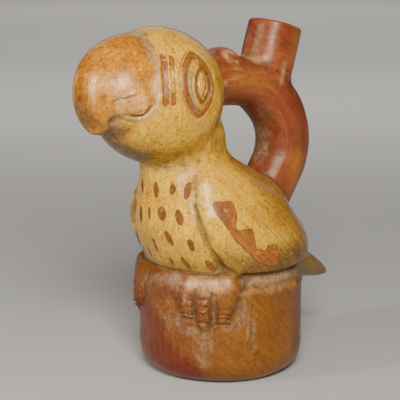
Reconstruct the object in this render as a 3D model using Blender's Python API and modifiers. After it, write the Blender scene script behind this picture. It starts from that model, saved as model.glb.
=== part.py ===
"""Stirrup spout vessel: a parrot sitting on a drum, in one piece of hollow fired clay.

The bird looks along -Y. Its head, neck and body and the drum are one chamber. A thick round
tube, the stirrup, runs from the back of the head to the back of the bird, and a short
leaning spout stands on it. Tube and spout are bored through, so the mouth of the spout is
the only opening.

Metres, +Z up. The origin is the middle of the drum's flat underside.

The form is made the way a potter makes it: overlapping lumps, turned, lofted or drawn out
as tubes, are melted into one skin. The same lumps, made smaller by the wall, melt into the
hollow that is cut out of it.
"""

import math

import bmesh
import bpy
from mathutils import Matrix, Vector

# ---- driving sizes -------------------------------------------------------------------
WALL = 0.0050                       # thickness of the fired clay

DRUM_RADIUS = 0.0448
DRUM_SHOULDER = 0.0545              # height of the drum's upper edge
DRUM_SHOULDER_ROUND = 0.0030
DRUM_FOOT_ROUND = 0.0140            # the large round between the side and the underside
DRUM_TOP = 0.0610                   # where the sloping top meets the bird
DRUM_TOP_RADIUS = 0.0405

# Sections of the bird's body from inside the drum up into the head:
# height, middle along Y, half-width along X, half-depth along Y
BODY = (
    (0.0500, 0.0010, 0.0385, 0.0385),
    (0.0620, 0.0011, 0.0420, 0.0430),
    (0.0673, 0.0003, 0.0432, 0.0440),
    (0.0746, -0.0017, 0.0428, 0.0450),
    (0.0828, -0.0058, 0.0408, 0.0440),
    (0.0918, -0.0091, 0.0380, 0.0410),
    (0.1014, -0.0106, 0.0348, 0.0386),
    (0.1070, -0.0148, 0.0325, 0.0345),
    (0.1110, -0.0182, 0.0298, 0.0315),
    (0.1150, -0.0218, 0.0270, 0.0280),
    (0.1220, -0.0268, 0.0235, 0.0238),
    (0.1350, -0.0312, 0.0238, 0.0258),
    (0.1450, -0.0345, 0.0210, 0.0245),
)

HEAD_CENTRE = Vector((0.0, -0.0450, 0.1530))
HEAD_RADII = Vector((0.0347, 0.0357, 0.0356))

BEAK_CENTRE = Vector((0.0, -0.0610, 0.1555))
BEAK_RADII = Vector((0.0265, 0.0322, 0.0304))
BEAK_EDGE = 0.1470                  # height of the upper beak's lower edge
BEAK_TIP_BACK = -0.0840             # Y of the back of the hooked tip
TIP_CENTRE = Vector((0.0, -0.0838, 0.1408))
TIP_RADII = Vector((0.0105, 0.0042, 0.0064))
JAW_CENTRE = Vector((0.0, -0.0640, 0.1490))
JAW_RADII = Vector((0.0245, 0.0216, 0.0160))
BEAK_CLAY = 0.0090                  # the beak is thicker than the wall all round

WING_LIFT = 0.0041                  # how far a wing stands out from the body
WING_TOP = 0.1220                   # it sinks into the shoulder at this height
WING_FADE = 0.0170                  # and stands out in full this far below
WING_GAP = 0.0070                   # half the gap between the wings on the back
WING_REACH = 0.0700                 # X past the widest part of a wing
# Edge of a wing seen from its side: Y, height
WING_EDGE = (
    (-0.0400, 0.1220),
    (-0.0415, 0.0992),
    (-0.0395, 0.0854),
    (-0.0355, 0.0747),
    (-0.0300, 0.0655),
    (-0.0220, 0.0622),
    (0.0000, 0.0618),
    (0.0220, 0.0632),
    (0.0400, 0.0665),
    (0.0500, 0.0700),
    (0.0500, 0.1220),
)

TUBE_RADIUS = 0.0150
# Middle line of the stirrup from head to back: Y, height, radius as a share of TUBE_RADIUS
STIRRUP = (
    (-0.0260, 0.1585, 1.04),
    (-0.0120, 0.1590, 1.02),
    (-0.0030, 0.1588, 0.98),
    (0.0090, 0.1575, 0.91),
    (0.0220, 0.1550, 0.94),
    (0.0345, 0.1470, 1.00),
    (0.0430, 0.1362, 1.01),
    (0.0466, 0.1240, 1.01),
    (0.0450, 0.1120, 1.01),
    (0.0398, 0.1030, 1.01),
    (0.0315, 0.0910, 1.01),
    (0.0240, 0.0800, 1.00),
)
COLLAR_CENTRE = Vector((0.0, -0.0005, 0.1675))    # thickening where the tube leaves the head
COLLAR_RADII = Vector((0.0120, 0.0095, 0.0092))
SPOUT_FOOT = Vector((0.0, 0.0300, 0.1530))
SPOUT_MOUTH = Vector((0.0, 0.0403, 0.1865))
SPOUT_LEAN = (SPOUT_MOUTH - SPOUT_FOOT).normalized()

TAIL_ROOT = Vector((0.0, 0.0380, 0.0575))
TAIL_TIP = Vector((0.0, 0.0800, 0.0418))
TAIL_ROOT_SIZE = Vector((0.0190, 0.0140))         # half-width, half-thickness
TAIL_TIP_SIZE = Vector((0.0055, 0.0048))

FOOT_TURN = math.radians(37.5)      # how far each foot is turned out from the front
TOE_STEP = math.radians(12.6)
TOE_SIZE = (0.0047, 0.0048)         # half its width round the drum, half its depth
TOE_ENDS = ((0.0535, 0.0390), (0.0540, 0.0335), (0.0530, 0.0370))   # upper, lower
LEG_SIZE = (0.0055, 0.0062, 0.0090)
LEG_HEIGHT = 0.0545
INSTEP_SIZE = (0.0130, 0.0060, 0.0070)
INSTEP_HEIGHT = 0.0535

CLAY_GRAIN = 0.0011                 # cell of the pass that melts the lumps into one skin
OUTER_SHARE = 0.036                 # share of that skin's faces kept outside
INNER_SHARE = 0.029                 # and inside
SPARE = 0.0020                      # how far a form runs past the flat cut that ends it
ROUND_STEPS = 48                    # points round a section
RUN_STEPS = 4                       # points between two stations of a smooth run

CLAY_COLOUR = (0.55, 0.30, 0.10, 1.0)


# ---- outlines and runs ---------------------------------------------------------------
def oval(centre, across, along):
    """Points of an ellipse round a centre, from its two half-axes as vectors."""
    angles = [2.0 * math.pi * i / ROUND_STEPS for i in range(ROUND_STEPS)]
    return [centre + across * math.cos(a) + along * math.sin(a) for a in angles]


def smooth_run(stations):
    """A Catmull-Rom run through stations given as tuples of numbers."""
    ends = [Vector(station) for station in (stations[0], *stations, stations[-1])]
    run = []
    for before, here, there, after in zip(ends, ends[1:], ends[2:], ends[3:]):
        for step in range(RUN_STEPS):
            t = step / RUN_STEPS
            run.append(0.5 * (2.0 * here + (there - before) * t
                              + (2.0 * before - 5.0 * here + 4.0 * there - after) * t ** 2
                              + (3.0 * here - before - 3.0 * there + after) * t ** 3))
    run.append(ends[-1])
    return run


def arc(centre_radius, centre_height, size, start, end, steps):
    """Points (radius, height) on a quarter round, angles in degrees up from outwards."""
    points = []
    for step in range(steps + 1):
        angle = math.radians(start + (end - start) * step / steps)
        points.append((centre_radius + size * math.cos(angle),
                       centre_height + size * math.sin(angle)))
    return points


def on_drum(turn, out, height):
    """A point round the drum: turn from the front (-Y) towards +X, distance out, height."""
    return Vector((out * math.sin(turn), -out * math.cos(turn), height))


# ---- objects -------------------------------------------------------------------------
def new_object(name, bm, collection):
    mesh = bpy.data.meshes.new(name)
    bm.to_mesh(mesh)
    bm.free()
    thing = bpy.data.objects.new(name, mesh)
    collection.objects.link(thing)
    return thing


def make_cutter(thing):
    for collection in thing.users_collection:
        collection.objects.unlink(thing)
    cutters.objects.link(thing)
    thing.hide_render = True
    thing.display_type = "WIRE"


def block(name, centre, size, turn=(0.0, 0.0, 0.0)):
    """A box among the cutters."""
    bpy.ops.mesh.primitive_cube_add(size=1.0, location=centre, rotation=turn)
    thing = bpy.context.object
    thing.name = name
    thing.scale = size
    make_cutter(thing)
    return thing


def slab(name, outline, x_from, x_to):
    """A flat outline of (y, height) points, made solid between two values of X."""
    bm = bmesh.new()
    face = bm.faces.new([bm.verts.new((x_from, y, z)) for y, z in outline])
    made = bmesh.ops.extrude_face_region(bm, geom=[face])
    moved = [item for item in made["geom"] if isinstance(item, bmesh.types.BMVert)]
    bmesh.ops.translate(bm, verts=moved, vec=(x_to - x_from, 0.0, 0.0))
    bmesh.ops.recalc_face_normals(bm, faces=bm.faces)
    thing = new_object(name, bm, cutters)
    make_cutter(thing)
    return thing


def boolean(thing, other, operation):
    cut = thing.modifiers.new(f"{operation.title()} {other.name}", "BOOLEAN")
    cut.operation = operation
    cut.solver = "EXACT"
    cut.object = other


def melt(thing, share):
    """Melts overlapping lumps into one skin, smooths it and thins its faces."""
    remesh = thing.modifiers.new("Melt", "REMESH")
    remesh.mode = "VOXEL"
    remesh.voxel_size = CLAY_GRAIN
    remesh.use_smooth_shade = True
    smooth = thing.modifiers.new("Smooth", "SMOOTH")
    smooth.factor = 0.5
    smooth.iterations = 4
    thin = thing.modifiers.new("Thin", "DECIMATE")
    thin.ratio = share


# ---- lumps ---------------------------------------------------------------------------
def ellipsoid(bm, centre, radii, turn=0.0):
    """Adds an ellipsoid, turned about its own upright axis."""
    matrix = (Matrix.Translation(centre) @ Matrix.Rotation(turn, 4, "Z")
              @ Matrix.Diagonal((*radii, 1.0)))
    bmesh.ops.create_uvsphere(bm, u_segments=ROUND_STEPS, v_segments=32, radius=1.0,
                              matrix=matrix)


def loft(bm, rings):
    """Adds a closed skin over rings of points, all of the same length."""
    levels = [[bm.verts.new(point) for point in ring] for ring in rings]
    for low, high in zip(levels, levels[1:]):
        for i in range(ROUND_STEPS):
            j = (i + 1) % ROUND_STEPS
            bm.faces.new((low[i], low[j], high[j], high[i]))
    bm.faces.new(list(reversed(levels[0])))
    bm.faces.new(levels[-1])


def add_evaluated(bm, thing):
    """Adds an object's evaluated mesh in its place, welds it, and removes the object."""
    bpy.context.view_layer.update()
    graph = bpy.context.evaluated_depsgraph_get()
    mesh = bpy.data.meshes.new_from_object(thing.evaluated_get(graph))
    mesh.transform(thing.matrix_world)
    first = len(bm.verts)
    bm.from_mesh(mesh)
    bm.verts.ensure_lookup_table()
    bmesh.ops.remove_doubles(bm, verts=bm.verts[first:], dist=1e-6)
    bpy.data.objects.remove(thing)
    bpy.data.meshes.remove(mesh)


def turned(bm, profile):
    """Adds a shape turned about Z from a profile of (radius, height), top to bottom."""
    mesh = bpy.data.meshes.new("profile")
    points = [(radius, 0.0, height) for radius, height in profile]
    mesh.from_pydata(points, [(i, i + 1) for i in range(len(points) - 1)], [])
    thing = bpy.data.objects.new("profile", mesh)
    parts.objects.link(thing)
    screw = thing.modifiers.new("Screw", "SCREW")
    screw.steps = screw.render_steps = 72
    screw.use_merge_vertices = True
    screw.merge_threshold = 1e-6
    add_evaluated(bm, thing)


def tube(bm, line, radius):
    """Adds a round tube at X = 0 along points (y, height, share of the radius)."""
    curve = bpy.data.curves.new("tube", "CURVE")
    curve.dimensions = "3D"
    curve.bevel_depth = radius
    curve.bevel_resolution = 10
    curve.use_fill_caps = True
    spline = curve.splines.new("POLY")
    spline.points.add(len(line) - 1)
    for point, (y, height, share) in zip(spline.points, line):
        point.co = (0.0, y, height, 1.0)
        point.radius = share
    thing = bpy.data.objects.new("tube", curve)
    parts.objects.link(thing)
    add_evaluated(bm, thing)


# ---- the vessel's forms --------------------------------------------------------------
def drum(bm, inset, bottom):
    """The drum, with a large round at its foot and a sloping top under the bird."""
    radius = DRUM_RADIUS - inset
    foot = DRUM_FOOT_ROUND - inset
    edge = DRUM_SHOULDER_ROUND
    shoulder = arc(radius - edge, DRUM_SHOULDER - inset - edge, edge, 80.0, 0.0, 4)
    side = arc(radius - foot, bottom + foot, foot, 0.0, -90.0, 9)
    turned(bm, [(0.0, DRUM_TOP), (DRUM_TOP_RADIUS - inset, DRUM_TOP - inset / 2.0),
                *shoulder, *side, (0.0, bottom)])


def body(bm, inset, lift=0.0):
    """The bird's body and neck; lift swells them below the shoulder, for the wings."""
    rings = []
    for height, middle, across, along in smooth_run(BODY):
        share = min(max((WING_TOP - height) / WING_FADE, 0.0), 1.0)
        share = share * share * (3.0 - 2.0 * share)
        grow = lift * (1.6 * share - 0.6) - inset
        centre = Vector((0.0, middle, height - 0.6 * inset))
        rings.append(oval(centre, Vector((across + grow, 0.0, 0.0)),
                          Vector((0.0, along + grow, 0.0))))
    loft(bm, rings)


def wing(side):
    """One wing: the swollen body, kept only inside the wing's edge."""
    bm = bmesh.new()
    body(bm, 0.0, WING_LIFT)
    thing = new_object(f"wing_{side}", bm, cutters)
    x_from, x_to = sorted((side * WING_GAP, side * WING_REACH))
    boolean(thing, slab(f"wing_edge_{side}", WING_EDGE, x_from, x_to), "INTERSECT")
    return thing


def upper_beak():
    """The upper beak, cut away below and behind its edge so that its tip hooks down."""
    bm = bmesh.new()
    ellipsoid(bm, BEAK_CENTRE, BEAK_RADII)
    thing = new_object("upper_beak", bm, cutters)
    size = 2.0 * BEAK_RADII.y
    centre = (0.0, BEAK_TIP_BACK + size / 2.0, BEAK_EDGE - size / 2.0)
    boolean(thing, block("mouth_gap", centre, (size, size, size)), "DIFFERENCE")
    return thing


def tail(bm):
    """A flat tapering wedge that droops over the back edge of the drum."""
    up = Vector((1.0, 0.0, 0.0)).cross(TAIL_TIP - TAIL_ROOT).normalized()
    rings = []
    for step in range(7):
        t = step / 6.0
        width, depth = TAIL_ROOT_SIZE.lerp(TAIL_TIP_SIZE, t)
        rings.append(oval(TAIL_ROOT.lerp(TAIL_TIP, t), Vector((width, 0.0, 0.0)), up * depth))
    loft(bm, rings)


def foot(bm, side):
    """Three toes gripping the drum, the leg above the outer toe, and the instep."""
    middle = side * FOOT_TURN
    for number, (top, low) in enumerate(TOE_ENDS):
        turn = middle + side * TOE_STEP * (number - 1)
        centre = on_drum(turn, DRUM_RADIUS, (top + low) / 2.0)
        ellipsoid(bm, centre, (*TOE_SIZE, (top - low) / 2.0 + 0.001), turn)
    leg_turn = middle + side * TOE_STEP * 1.25
    ellipsoid(bm, on_drum(leg_turn, DRUM_RADIUS - 0.0025, LEG_HEIGHT), LEG_SIZE, leg_turn)
    ellipsoid(bm, on_drum(middle, DRUM_RADIUS - 0.0045, INSTEP_HEIGHT), INSTEP_SIZE, middle)


def stirrup_and_spout(bm, radius, past_mouth):
    """The bent tube and the leaning spout on it."""
    tube(bm, smooth_run(STIRRUP), radius)
    end = SPOUT_MOUTH + SPOUT_LEAN * past_mouth
    tube(bm, [(*point.yz, 1.0) for point in (SPOUT_FOOT, end)], radius)


def outside():
    """The whole outer form, reaching a little past the flat cuts at its two ends."""
    bm = bmesh.new()
    drum(bm, 0.0, -SPARE / 4.0)
    body(bm, 0.0)
    ellipsoid(bm, HEAD_CENTRE, HEAD_RADII)
    ellipsoid(bm, JAW_CENTRE, JAW_RADII)
    ellipsoid(bm, TIP_CENTRE, TIP_RADII)
    ellipsoid(bm, COLLAR_CENTRE, COLLAR_RADII)
    add_evaluated(bm, upper_beak())
    stirrup_and_spout(bm, TUBE_RADIUS, SPARE)
    tail(bm)
    for side in (-1, 1):
        foot(bm, side)
        add_evaluated(bm, wing(side))
    thing = new_object("vessel", bm, parts)
    melt(thing, OUTER_SHARE)
    return thing


def inside():
    """The hollow: the same chamber a wall's thickness in, and the bores to the mouth."""
    bm = bmesh.new()
    drum(bm, WALL, WALL)
    body(bm, WALL)
    ellipsoid(bm, HEAD_CENTRE, [radius - WALL for radius in HEAD_RADII])
    ellipsoid(bm, BEAK_CENTRE.lerp(HEAD_CENTRE, 0.25) + Vector((0.0, 0.0, 0.003)),
              [radius - BEAK_CLAY for radius in BEAK_RADII])
    stirrup_and_spout(bm, TUBE_RADIUS - WALL, 3.0 * SPARE)
    thing = new_object("hollow", bm, cutters)
    make_cutter(thing)
    melt(thing, INNER_SHARE)
    return thing


def clay():
    material = bpy.data.materials.new("fired_clay")
    material.use_nodes = True
    shader = material.node_tree.nodes["Principled BSDF"]
    shader.inputs["Base Color"].default_value = CLAY_COLOUR
    shader.inputs["Roughness"].default_value = 0.4
    shader.inputs["Metallic"].default_value = 0.0
    return material


def vessel():
    """The clay skin, hollowed, cut flat underneath and square across the spout's mouth."""
    thing = outside()
    thing.data.materials.append(clay())
    boolean(thing, inside(), "DIFFERENCE")
    reach = 4.0 * DRUM_RADIUS
    deep = 0.02
    floor = block("floor_cut", (0.0, 0.0, -deep / 2.0), (reach, reach, deep))
    boolean(thing, floor, "DIFFERENCE")
    wide = 3.0 * TUBE_RADIUS
    mouth = block("mouth_cut", SPOUT_MOUTH + SPOUT_LEAN * deep / 2.0, (wide, wide, deep),
                  SPOUT_LEAN.to_track_quat("Z", "Y").to_euler())
    boolean(thing, mouth, "DIFFERENCE")


for old in list(bpy.data.objects):
    bpy.data.objects.remove(old)
parts = bpy.data.collections.new("stirrup_spout_vessel")
cutters = bpy.data.collections.new("cutters")
bpy.context.scene.collection.children.link(parts)
bpy.context.scene.collection.children.link(cutters)
vessel()
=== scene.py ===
"""Stirrup spout vessel: a parrot sitting on a drum, one piece of hollow fired clay.

The vessel is shaped from overlapping lumps that are melted into one skin, as wet clay is
smoothed over its joins. Tools then press the eye, the mouth, the wings and the toes into the
skin. The hollow is a second skin inside the first, and the two meet in the lip of the spout.
The slip colours are painted over fields that say how far each spot lies from an edge.

The modelling is in millimetres, +Z up, with the bird looking along -Y. The finished piece is
turned into metres at the end.
"""

import math

import bmesh
import bpy
import numpy as np
from mathutils import Matrix, Vector, noise
from mathutils.bvhtree import BVHTree


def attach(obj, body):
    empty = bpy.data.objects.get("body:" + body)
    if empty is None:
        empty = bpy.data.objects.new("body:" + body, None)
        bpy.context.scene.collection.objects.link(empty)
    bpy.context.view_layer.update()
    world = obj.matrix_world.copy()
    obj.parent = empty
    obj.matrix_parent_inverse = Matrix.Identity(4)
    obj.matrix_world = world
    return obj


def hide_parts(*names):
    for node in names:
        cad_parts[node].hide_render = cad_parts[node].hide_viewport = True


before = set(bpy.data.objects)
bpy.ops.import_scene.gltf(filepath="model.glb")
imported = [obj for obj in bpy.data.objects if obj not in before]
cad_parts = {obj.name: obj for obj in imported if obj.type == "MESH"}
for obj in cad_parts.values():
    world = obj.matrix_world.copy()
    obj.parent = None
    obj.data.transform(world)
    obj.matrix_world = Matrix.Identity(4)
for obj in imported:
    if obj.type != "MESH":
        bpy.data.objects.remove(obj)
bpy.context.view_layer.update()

# ---- sizes in millimetres ------------------------------------------------------------
MILLIMETRE = 0.001
WALL = 5.0
GRAIN = 0.7      # cell of the pass that melts the lumps together
INSIDE_GRAIN = 1.5

# Drum, from the underside up: radius, height
DRUM_SIDE = (
    (30.8, -1.0), (34.6, 0.3), (38.0, 1.6), (41.0, 4.1), (43.2, 7.6), (44.4, 11.0), (44.8, 14.5),
    (44.8, 30.0), (44.8, 46.0), (44.8, 50.0), (44.5, 52.4), (43.8, 54.6), (42.9, 56.8),
    (42.1, 59.2), (40.5, 62.0),
)
# Bird's body from inside the drum up into the head: height, middle along Y, half-width,
# half-depth
BODY = (
    (50.0, 1.0, 38.5, 38.5), (62.0, 1.1, 42.0, 43.0), (67.3, 0.3, 43.2, 44.0),
    (74.6, -1.7, 42.8, 45.0), (82.8, -5.8, 40.8, 44.0), (91.8, -9.1, 38.0, 41.0),
    (101.4, -10.6, 34.8, 38.6), (107.0, -14.8, 32.5, 34.5), (111.0, -18.2, 29.8, 31.5),
    (115.0, -21.8, 27.0, 28.0), (122.0, -26.8, 23.5, 23.8), (135.0, -31.2, 23.8, 25.8),
    (145.0, -34.5, 21.0, 24.5),
)
# Balls of the head: middle, half-sizes
HEAD = ((0.0, -45.0, 153.0), (34.7, 35.7, 35.6))
BEAK = ((0.0, -61.0, 155.5), (26.5, 32.2, 30.4))
HOOK_TIP = ((0.0, -83.9, 141.6), (11.2, 4.6, 6.3))
JAW = ((0.0, -64.0, 149.0), (24.5, 21.6, 16.0))
BEAK_HOLLOW = ((0.0, -57.0, 157.9), (17.5, 23.2, 21.4))
BEAK_EDGE = 147.0                       # height of the upper beak's lower edge
HOOK_BACK = -84.8                       # Y behind which the hook is cut away
# Edge of a wing seen from its side: Y, height
WING_EDGE = (
    (-40.0, 122.0), (-41.5, 99.2), (-39.5, 85.4), (-35.5, 74.7), (-29.0, 65.5), (-21.0, 61.6),
    (0.0, 60.8), (20.0, 61.8), (40.0, 66.0), (50.0, 70.0), (50.0, 122.0),
)
WING_LIFT = 4.1                         # how far a wing stands out from the body
WING_TOP = 119.0                        # height at which it has sunk into the shoulder
WING_FADE = 29.0                        # height over which it sinks
WING_GAP = ((3.0, 97.0), (11.0, 62.0))  # inner edge of a wing on the back: X, height
# Middle line of the stirrup from the head to the back: Y, height, radius
STIRRUP = (
    (-26.0, 158.5, 15.6), (-12.0, 159.0, 15.3), (-3.0, 158.8, 14.7), (9.0, 157.5, 13.7),
    (22.0, 155.0, 14.1), (34.5, 147.0, 15.0), (43.0, 136.2, 15.2), (46.6, 124.0, 15.2),
    (45.0, 112.0, 15.2), (39.8, 103.0, 15.2), (31.5, 91.0, 15.2), (24.0, 80.0, 15.0),
)
COLLAR = ((0.0, -0.6, 166.4), (12.6, 10.6, 10.1))   # swelling on the tube: middle, half-sizes
SPOUT_FOOT = Vector((0.0, 30.0, 153.0))
MOUTH = Vector((0.0, 40.3, 186.5))      # middle of the spout's mouth
SPOUT_RADIUS = 15.0
LIP = 1.3                               # round of the spout's lip
TAIL = (                                # Y, height, half-width, half-thickness
    (38.0, 57.5, 19.0, 14.0), (52.0, 52.0, 14.2, 10.6), (66.0, 46.2, 9.0, 7.2),
    (76.0, 42.0, 5.2, 4.6), (81.0, 40.0, 3.0, 2.8), (83.2, 39.0, 1.8, 1.7),
    (84.2, 38.6, 0.7, 0.7),
)
# Toes of the left foot, from the instep down: turn from the front in degrees, height,
# half-width, half-depth
TOES = (
    ((25.8, 57.0, 3.6, 1.8), (25.5, 53.0, 4.4, 2.8), (25.2, 48.5, 4.7, 3.5),
     (25.2, 44.0, 4.7, 3.7), (25.6, 41.0, 4.3, 3.4), (26.0, 38.9, 3.3, 2.5),
     (26.2, 37.4, 1.5, 1.0)),
    ((37.0, 57.0, 3.4, 2.4), (36.8, 53.0, 4.0, 3.4), (36.6, 47.0, 4.2, 4.1),
     (36.7, 41.0, 4.2, 4.3), (36.8, 36.5, 3.9, 3.8), (37.0, 33.4, 3.0, 2.8),
     (37.2, 31.7, 1.4, 1.0)),
    ((54.0, 60.0, 5.6, 3.0), (53.4, 55.0, 6.2, 4.4), (52.6, 50.0, 6.0, 4.9),
     (51.4, 45.0, 5.2, 4.8), (50.2, 40.5, 4.2, 4.2), (49.2, 37.0, 3.2, 3.2),
     (48.6, 34.4, 1.5, 1.2)),
)
# Back of the left foot, in balls: turn, distance out, height, half-sizes
FOOT = (
    (41.0, 39.6, 54.6, (15.2, 7.6, 7.4)),
    (53.5, 40.0, 56.0, (8.6, 7.8, 8.2)),
    (37.0, 41.6, 47.5, (14.5, 5.2, 13.0)),
)
TOE_OUT = 44.0                          # how far out the middle of a toe lies
# Folds of skin across each toe: turn, half the fold's turn, heights
WRINKLES = (
    (25.2, 4.6, (48.9, 45.2, 41.4, 38.9)),
    (36.7, 4.0, (50.0, 46.0, 42.0, 37.6, 34.4)),
    (50.4, 4.4, (45.2, 41.8, 39.4, 36.6)),
)
# Cuts between the toes: turn, height
TOE_CUTS = (
    ((31.6, 53.4), (31.0, 50.0), (30.6, 45.6), (31.0, 36.0)),
    ((42.6, 51.6), (42.0, 46.0), (41.9, 40.0), (42.2, 33.5)),
    ((44.6, 50.6), (45.4, 44.0), (45.4, 38.0), (44.8, 34.2)),
)
DRUM_OUT = 44.8                         # radius of the drum's side
SEAM = 61.2                             # height of the groove under the breast
NECK = 124.0                            # height from which the skin is worked as the head
FACE_FOOT = 125.0                       # height from which the face is painted
FAR = 20.0                              # a distance that counts as far from every mark
ROUND_BIRD = 42.0                       # radius at which turns are made into lengths
BIRD_MIDDLE = -8.0                      # Y of the upright line round which they are taken


# ---- light and camera, in metres and degrees -----------------------------------------
CAMERA_TURN, CAMERA_ASIDE, CAMERA_DOWN = 48.0, -0.93, 10.75
CAMERA_AWAY, CAMERA_HEIGHT = 0.700, 0.2253
CAMERA_LENS, CAMERA_SENSOR = 117.09, 36.0
# Soft lights: name, turn from -Y towards +X, height, distance, width and length, watts
LIGHTS = (
    ("key_light", 52.0, 0.60, 0.84, (0.34, 0.40), 15.5),
    ("soft_wall", 14.0, 0.43, 0.85, (1.10, 0.48), 2.1),
    ("side_light", -14.0, 0.38, 0.84, (0.03, 0.34), 2.9),
    ("back_light", 225.0, 1.00, 1.60, (2.4, 0.8), 4.4),
)
# Lights over the floor behind the vessel, turned away from it: name, distance, height,
# width and length, watts, how far down they look
FLOOR_TURN = 228.0
FLOOR_LIGHTS = (
    ("near_floor_light", 1.0, 0.9, (2.4, 0.5), 14.0, 52.0),
    ("middle_floor_light", 2.2, 1.6, (3.0, 1.0), 28.0, 48.0),
    ("far_floor_light", 4.5, 2.8, (5.0, 2.0), 128.0, 50.0),
)
WARM_LIGHT = (1.0, 0.955, 0.88)


def stand(name, data):
    """Puts a mesh, a lamp or a camera into the scene as an object."""
    thing = bpy.data.objects.new(name, data)
    bpy.context.scene.collection.objects.link(thing)
    return thing


def turn_to(thing, look):
    """Turns a camera or a lamp so that it looks along a direction."""
    thing.rotation_euler = look.to_track_quat("-Z", "Y").to_euler()


def as_mesh(name, clay):
    """Turns worked clay into a mesh."""
    mesh = bpy.data.meshes.new(name)
    clay.to_mesh(mesh)
    clay.free()
    return mesh


def stand_camera():
    """A long lens a little above the head, looking at the bird's left cheek."""
    turn, aside, down = map(math.radians, (CAMERA_TURN, CAMERA_ASIDE, CAMERA_DOWN))
    ahead = Vector((-math.sin(turn), math.cos(turn), 0.0))
    across = Vector((math.cos(turn), math.sin(turn), 0.0))
    level = ahead * math.cos(aside) + across * math.sin(aside)
    look = level * math.cos(down) - Vector((0.0, 0.0, math.sin(down)))
    camera = stand("camera", bpy.data.cameras.new("camera"))
    camera.data.lens = CAMERA_LENS
    camera.data.sensor_width = CAMERA_SENSOR
    camera.location = -ahead * CAMERA_AWAY + Vector((0.0, 0.0, CAMERA_HEIGHT))
    turn_to(camera, look)
    bpy.context.scene.camera = camera


def softbox(name, turn, height, distance, size, power, aim=(0.0, 0.0, 0.10)):
    """A square light aimed at the vessel, or at another place."""
    lamp = bpy.data.lights.new(name, "AREA")
    lamp.shape = "RECTANGLE"
    lamp.size, lamp.size_y = size
    lamp.energy = power
    lamp.color = WARM_LIGHT
    holder = stand(name, lamp)
    holder.location = round_drum(turn, distance, height)
    turn_to(holder, Vector(aim) - holder.location)


def light_studio():
    """The lights round the vessel and over the floor, and a little light from all sides."""
    for light in LIGHTS:
        softbox(*light)
    for name, away, height, size, power, down in FLOOR_LIGHTS:
        past = away + height / math.tan(math.radians(down))
        softbox(name, FLOOR_TURN, height, away, size, power, round_drum(FLOOR_TURN, past, 0.0))
    world = bpy.data.worlds.new("studio")
    world.use_nodes = True
    background = world.node_tree.nodes["Background"]
    background.inputs["Color"].default_value = (0.9, 0.92, 1.0, 1.0)
    background.inputs["Strength"].default_value = 0.07
    bpy.context.scene.world = world


def lay_floor():
    """A plain pale floor that runs far behind the vessel."""
    clay = bmesh.new()
    bmesh.ops.create_grid(clay, x_segments=1, y_segments=1, size=12.0)
    mesh = as_mesh("floor", clay)
    floor = stand("floor", mesh)
    paint = bpy.data.materials.new("pale_floor")
    paint.use_nodes = True
    shader = paint.node_tree.nodes["Principled BSDF"]
    shader.inputs["Base Color"].default_value = (0.46, 0.457, 0.45, 1.0)
    shader.inputs["Roughness"].default_value = 0.9
    mesh.materials.append(paint)


# ---- lumps of clay -------------------------------------------------------------------
def smooth_run(stations, steps=5):
    """A Catmull-Rom run through stations given as tuples of numbers."""
    ends = [Vector(station) for station in (stations[0], *stations, stations[-1])]
    run = []
    for before, here, there, after in zip(ends, ends[1:], ends[2:], ends[3:]):
        for step in range(steps):
            t = step / steps
            run.append(0.5 * (2.0 * here + (there - before) * t
                              + (2.0 * before - 5.0 * here + 4.0 * there - after) * t ** 2
                              + (3.0 * here - before - 3.0 * there + after) * t ** 3))
    run.append(ends[-1])
    return run


def ring(centre, across, along, aim=Vector((0.0, 0.0, 1.0))):
    """Matrix that lays a unit disc at centre, square to aim, with these half-widths."""
    tip = Matrix.Rotation(-math.atan2(aim.y, aim.z), 4, "X")
    return Matrix.Translation(centre) @ tip @ Matrix.Diagonal((across, along, 1.0, 1.0))


def pull(clay, rings):
    """Pulls a closed form of clay up through rings."""
    lump = bmesh.new()
    bmesh.ops.create_circle(lump, cap_ends=False, segments=72, radius=1.0, matrix=rings[0])
    rim = lump.edges[:]
    for before, after in zip(rings, rings[1:]):
        rim, verts = extrude(lump, rim)
        bmesh.ops.transform(lump, matrix=after @ before.inverted(), verts=verts)
    bmesh.ops.holes_fill(lump, edges=lump.edges[:], sides=0)
    put_on(clay, lump)


def extrude(clay, rim):
    """Extrudes a rim of edges in place and returns the new rim and its points."""
    grown = bmesh.ops.extrude_edge_only(clay, edges=rim)["geom"]
    verts = {item for item in grown if isinstance(item, bmesh.types.BMVert)}
    edges = [item for item in grown
             if isinstance(item, bmesh.types.BMEdge) and verts.issuperset(item.verts)]
    return edges, list(verts)


def ball(clay, centre, radii, turn=0.0):
    """Presses on a ball of clay, turned about its upright axis by an angle in degrees."""
    place = (Matrix.Translation(centre) @ Matrix.Rotation(math.radians(turn), 4, "Z")
             @ Matrix.Diagonal((*radii, 1.0)))
    lump = bmesh.new()
    bmesh.ops.create_icosphere(lump, subdivisions=5, radius=1.0, matrix=place)
    put_on(clay, lump)


def slice_off(clay, point, outwards):
    """Cuts a closed form flat and throws away what lies outwards of the cut."""
    whole = clay.verts[:] + clay.edges[:] + clay.faces[:]
    cut = bmesh.ops.bisect_plane(clay, geom=whole, dist=1e-4, plane_co=point,
                                 plane_no=outwards, clear_outer=True)["geom_cut"]
    edges = [item for item in cut if isinstance(item, bmesh.types.BMEdge)]
    bmesh.ops.holes_fill(clay, edges=edges, sides=0)


def put_on(clay, lump):
    """Moves a lump, made apart, onto the clay."""
    mesh = as_mesh("lump", lump)
    clay.from_mesh(mesh)
    bpy.data.meshes.remove(mesh)


def both_sides(clay, lump):
    """Puts a lump on the clay and its mirror image on the other side."""
    whole = lump.verts[:] + lump.edges[:] + lump.faces[:]
    bmesh.ops.mirror(lump, geom=whole, axis="X", merge_dist=1e-5)
    put_on(clay, lump)


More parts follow.
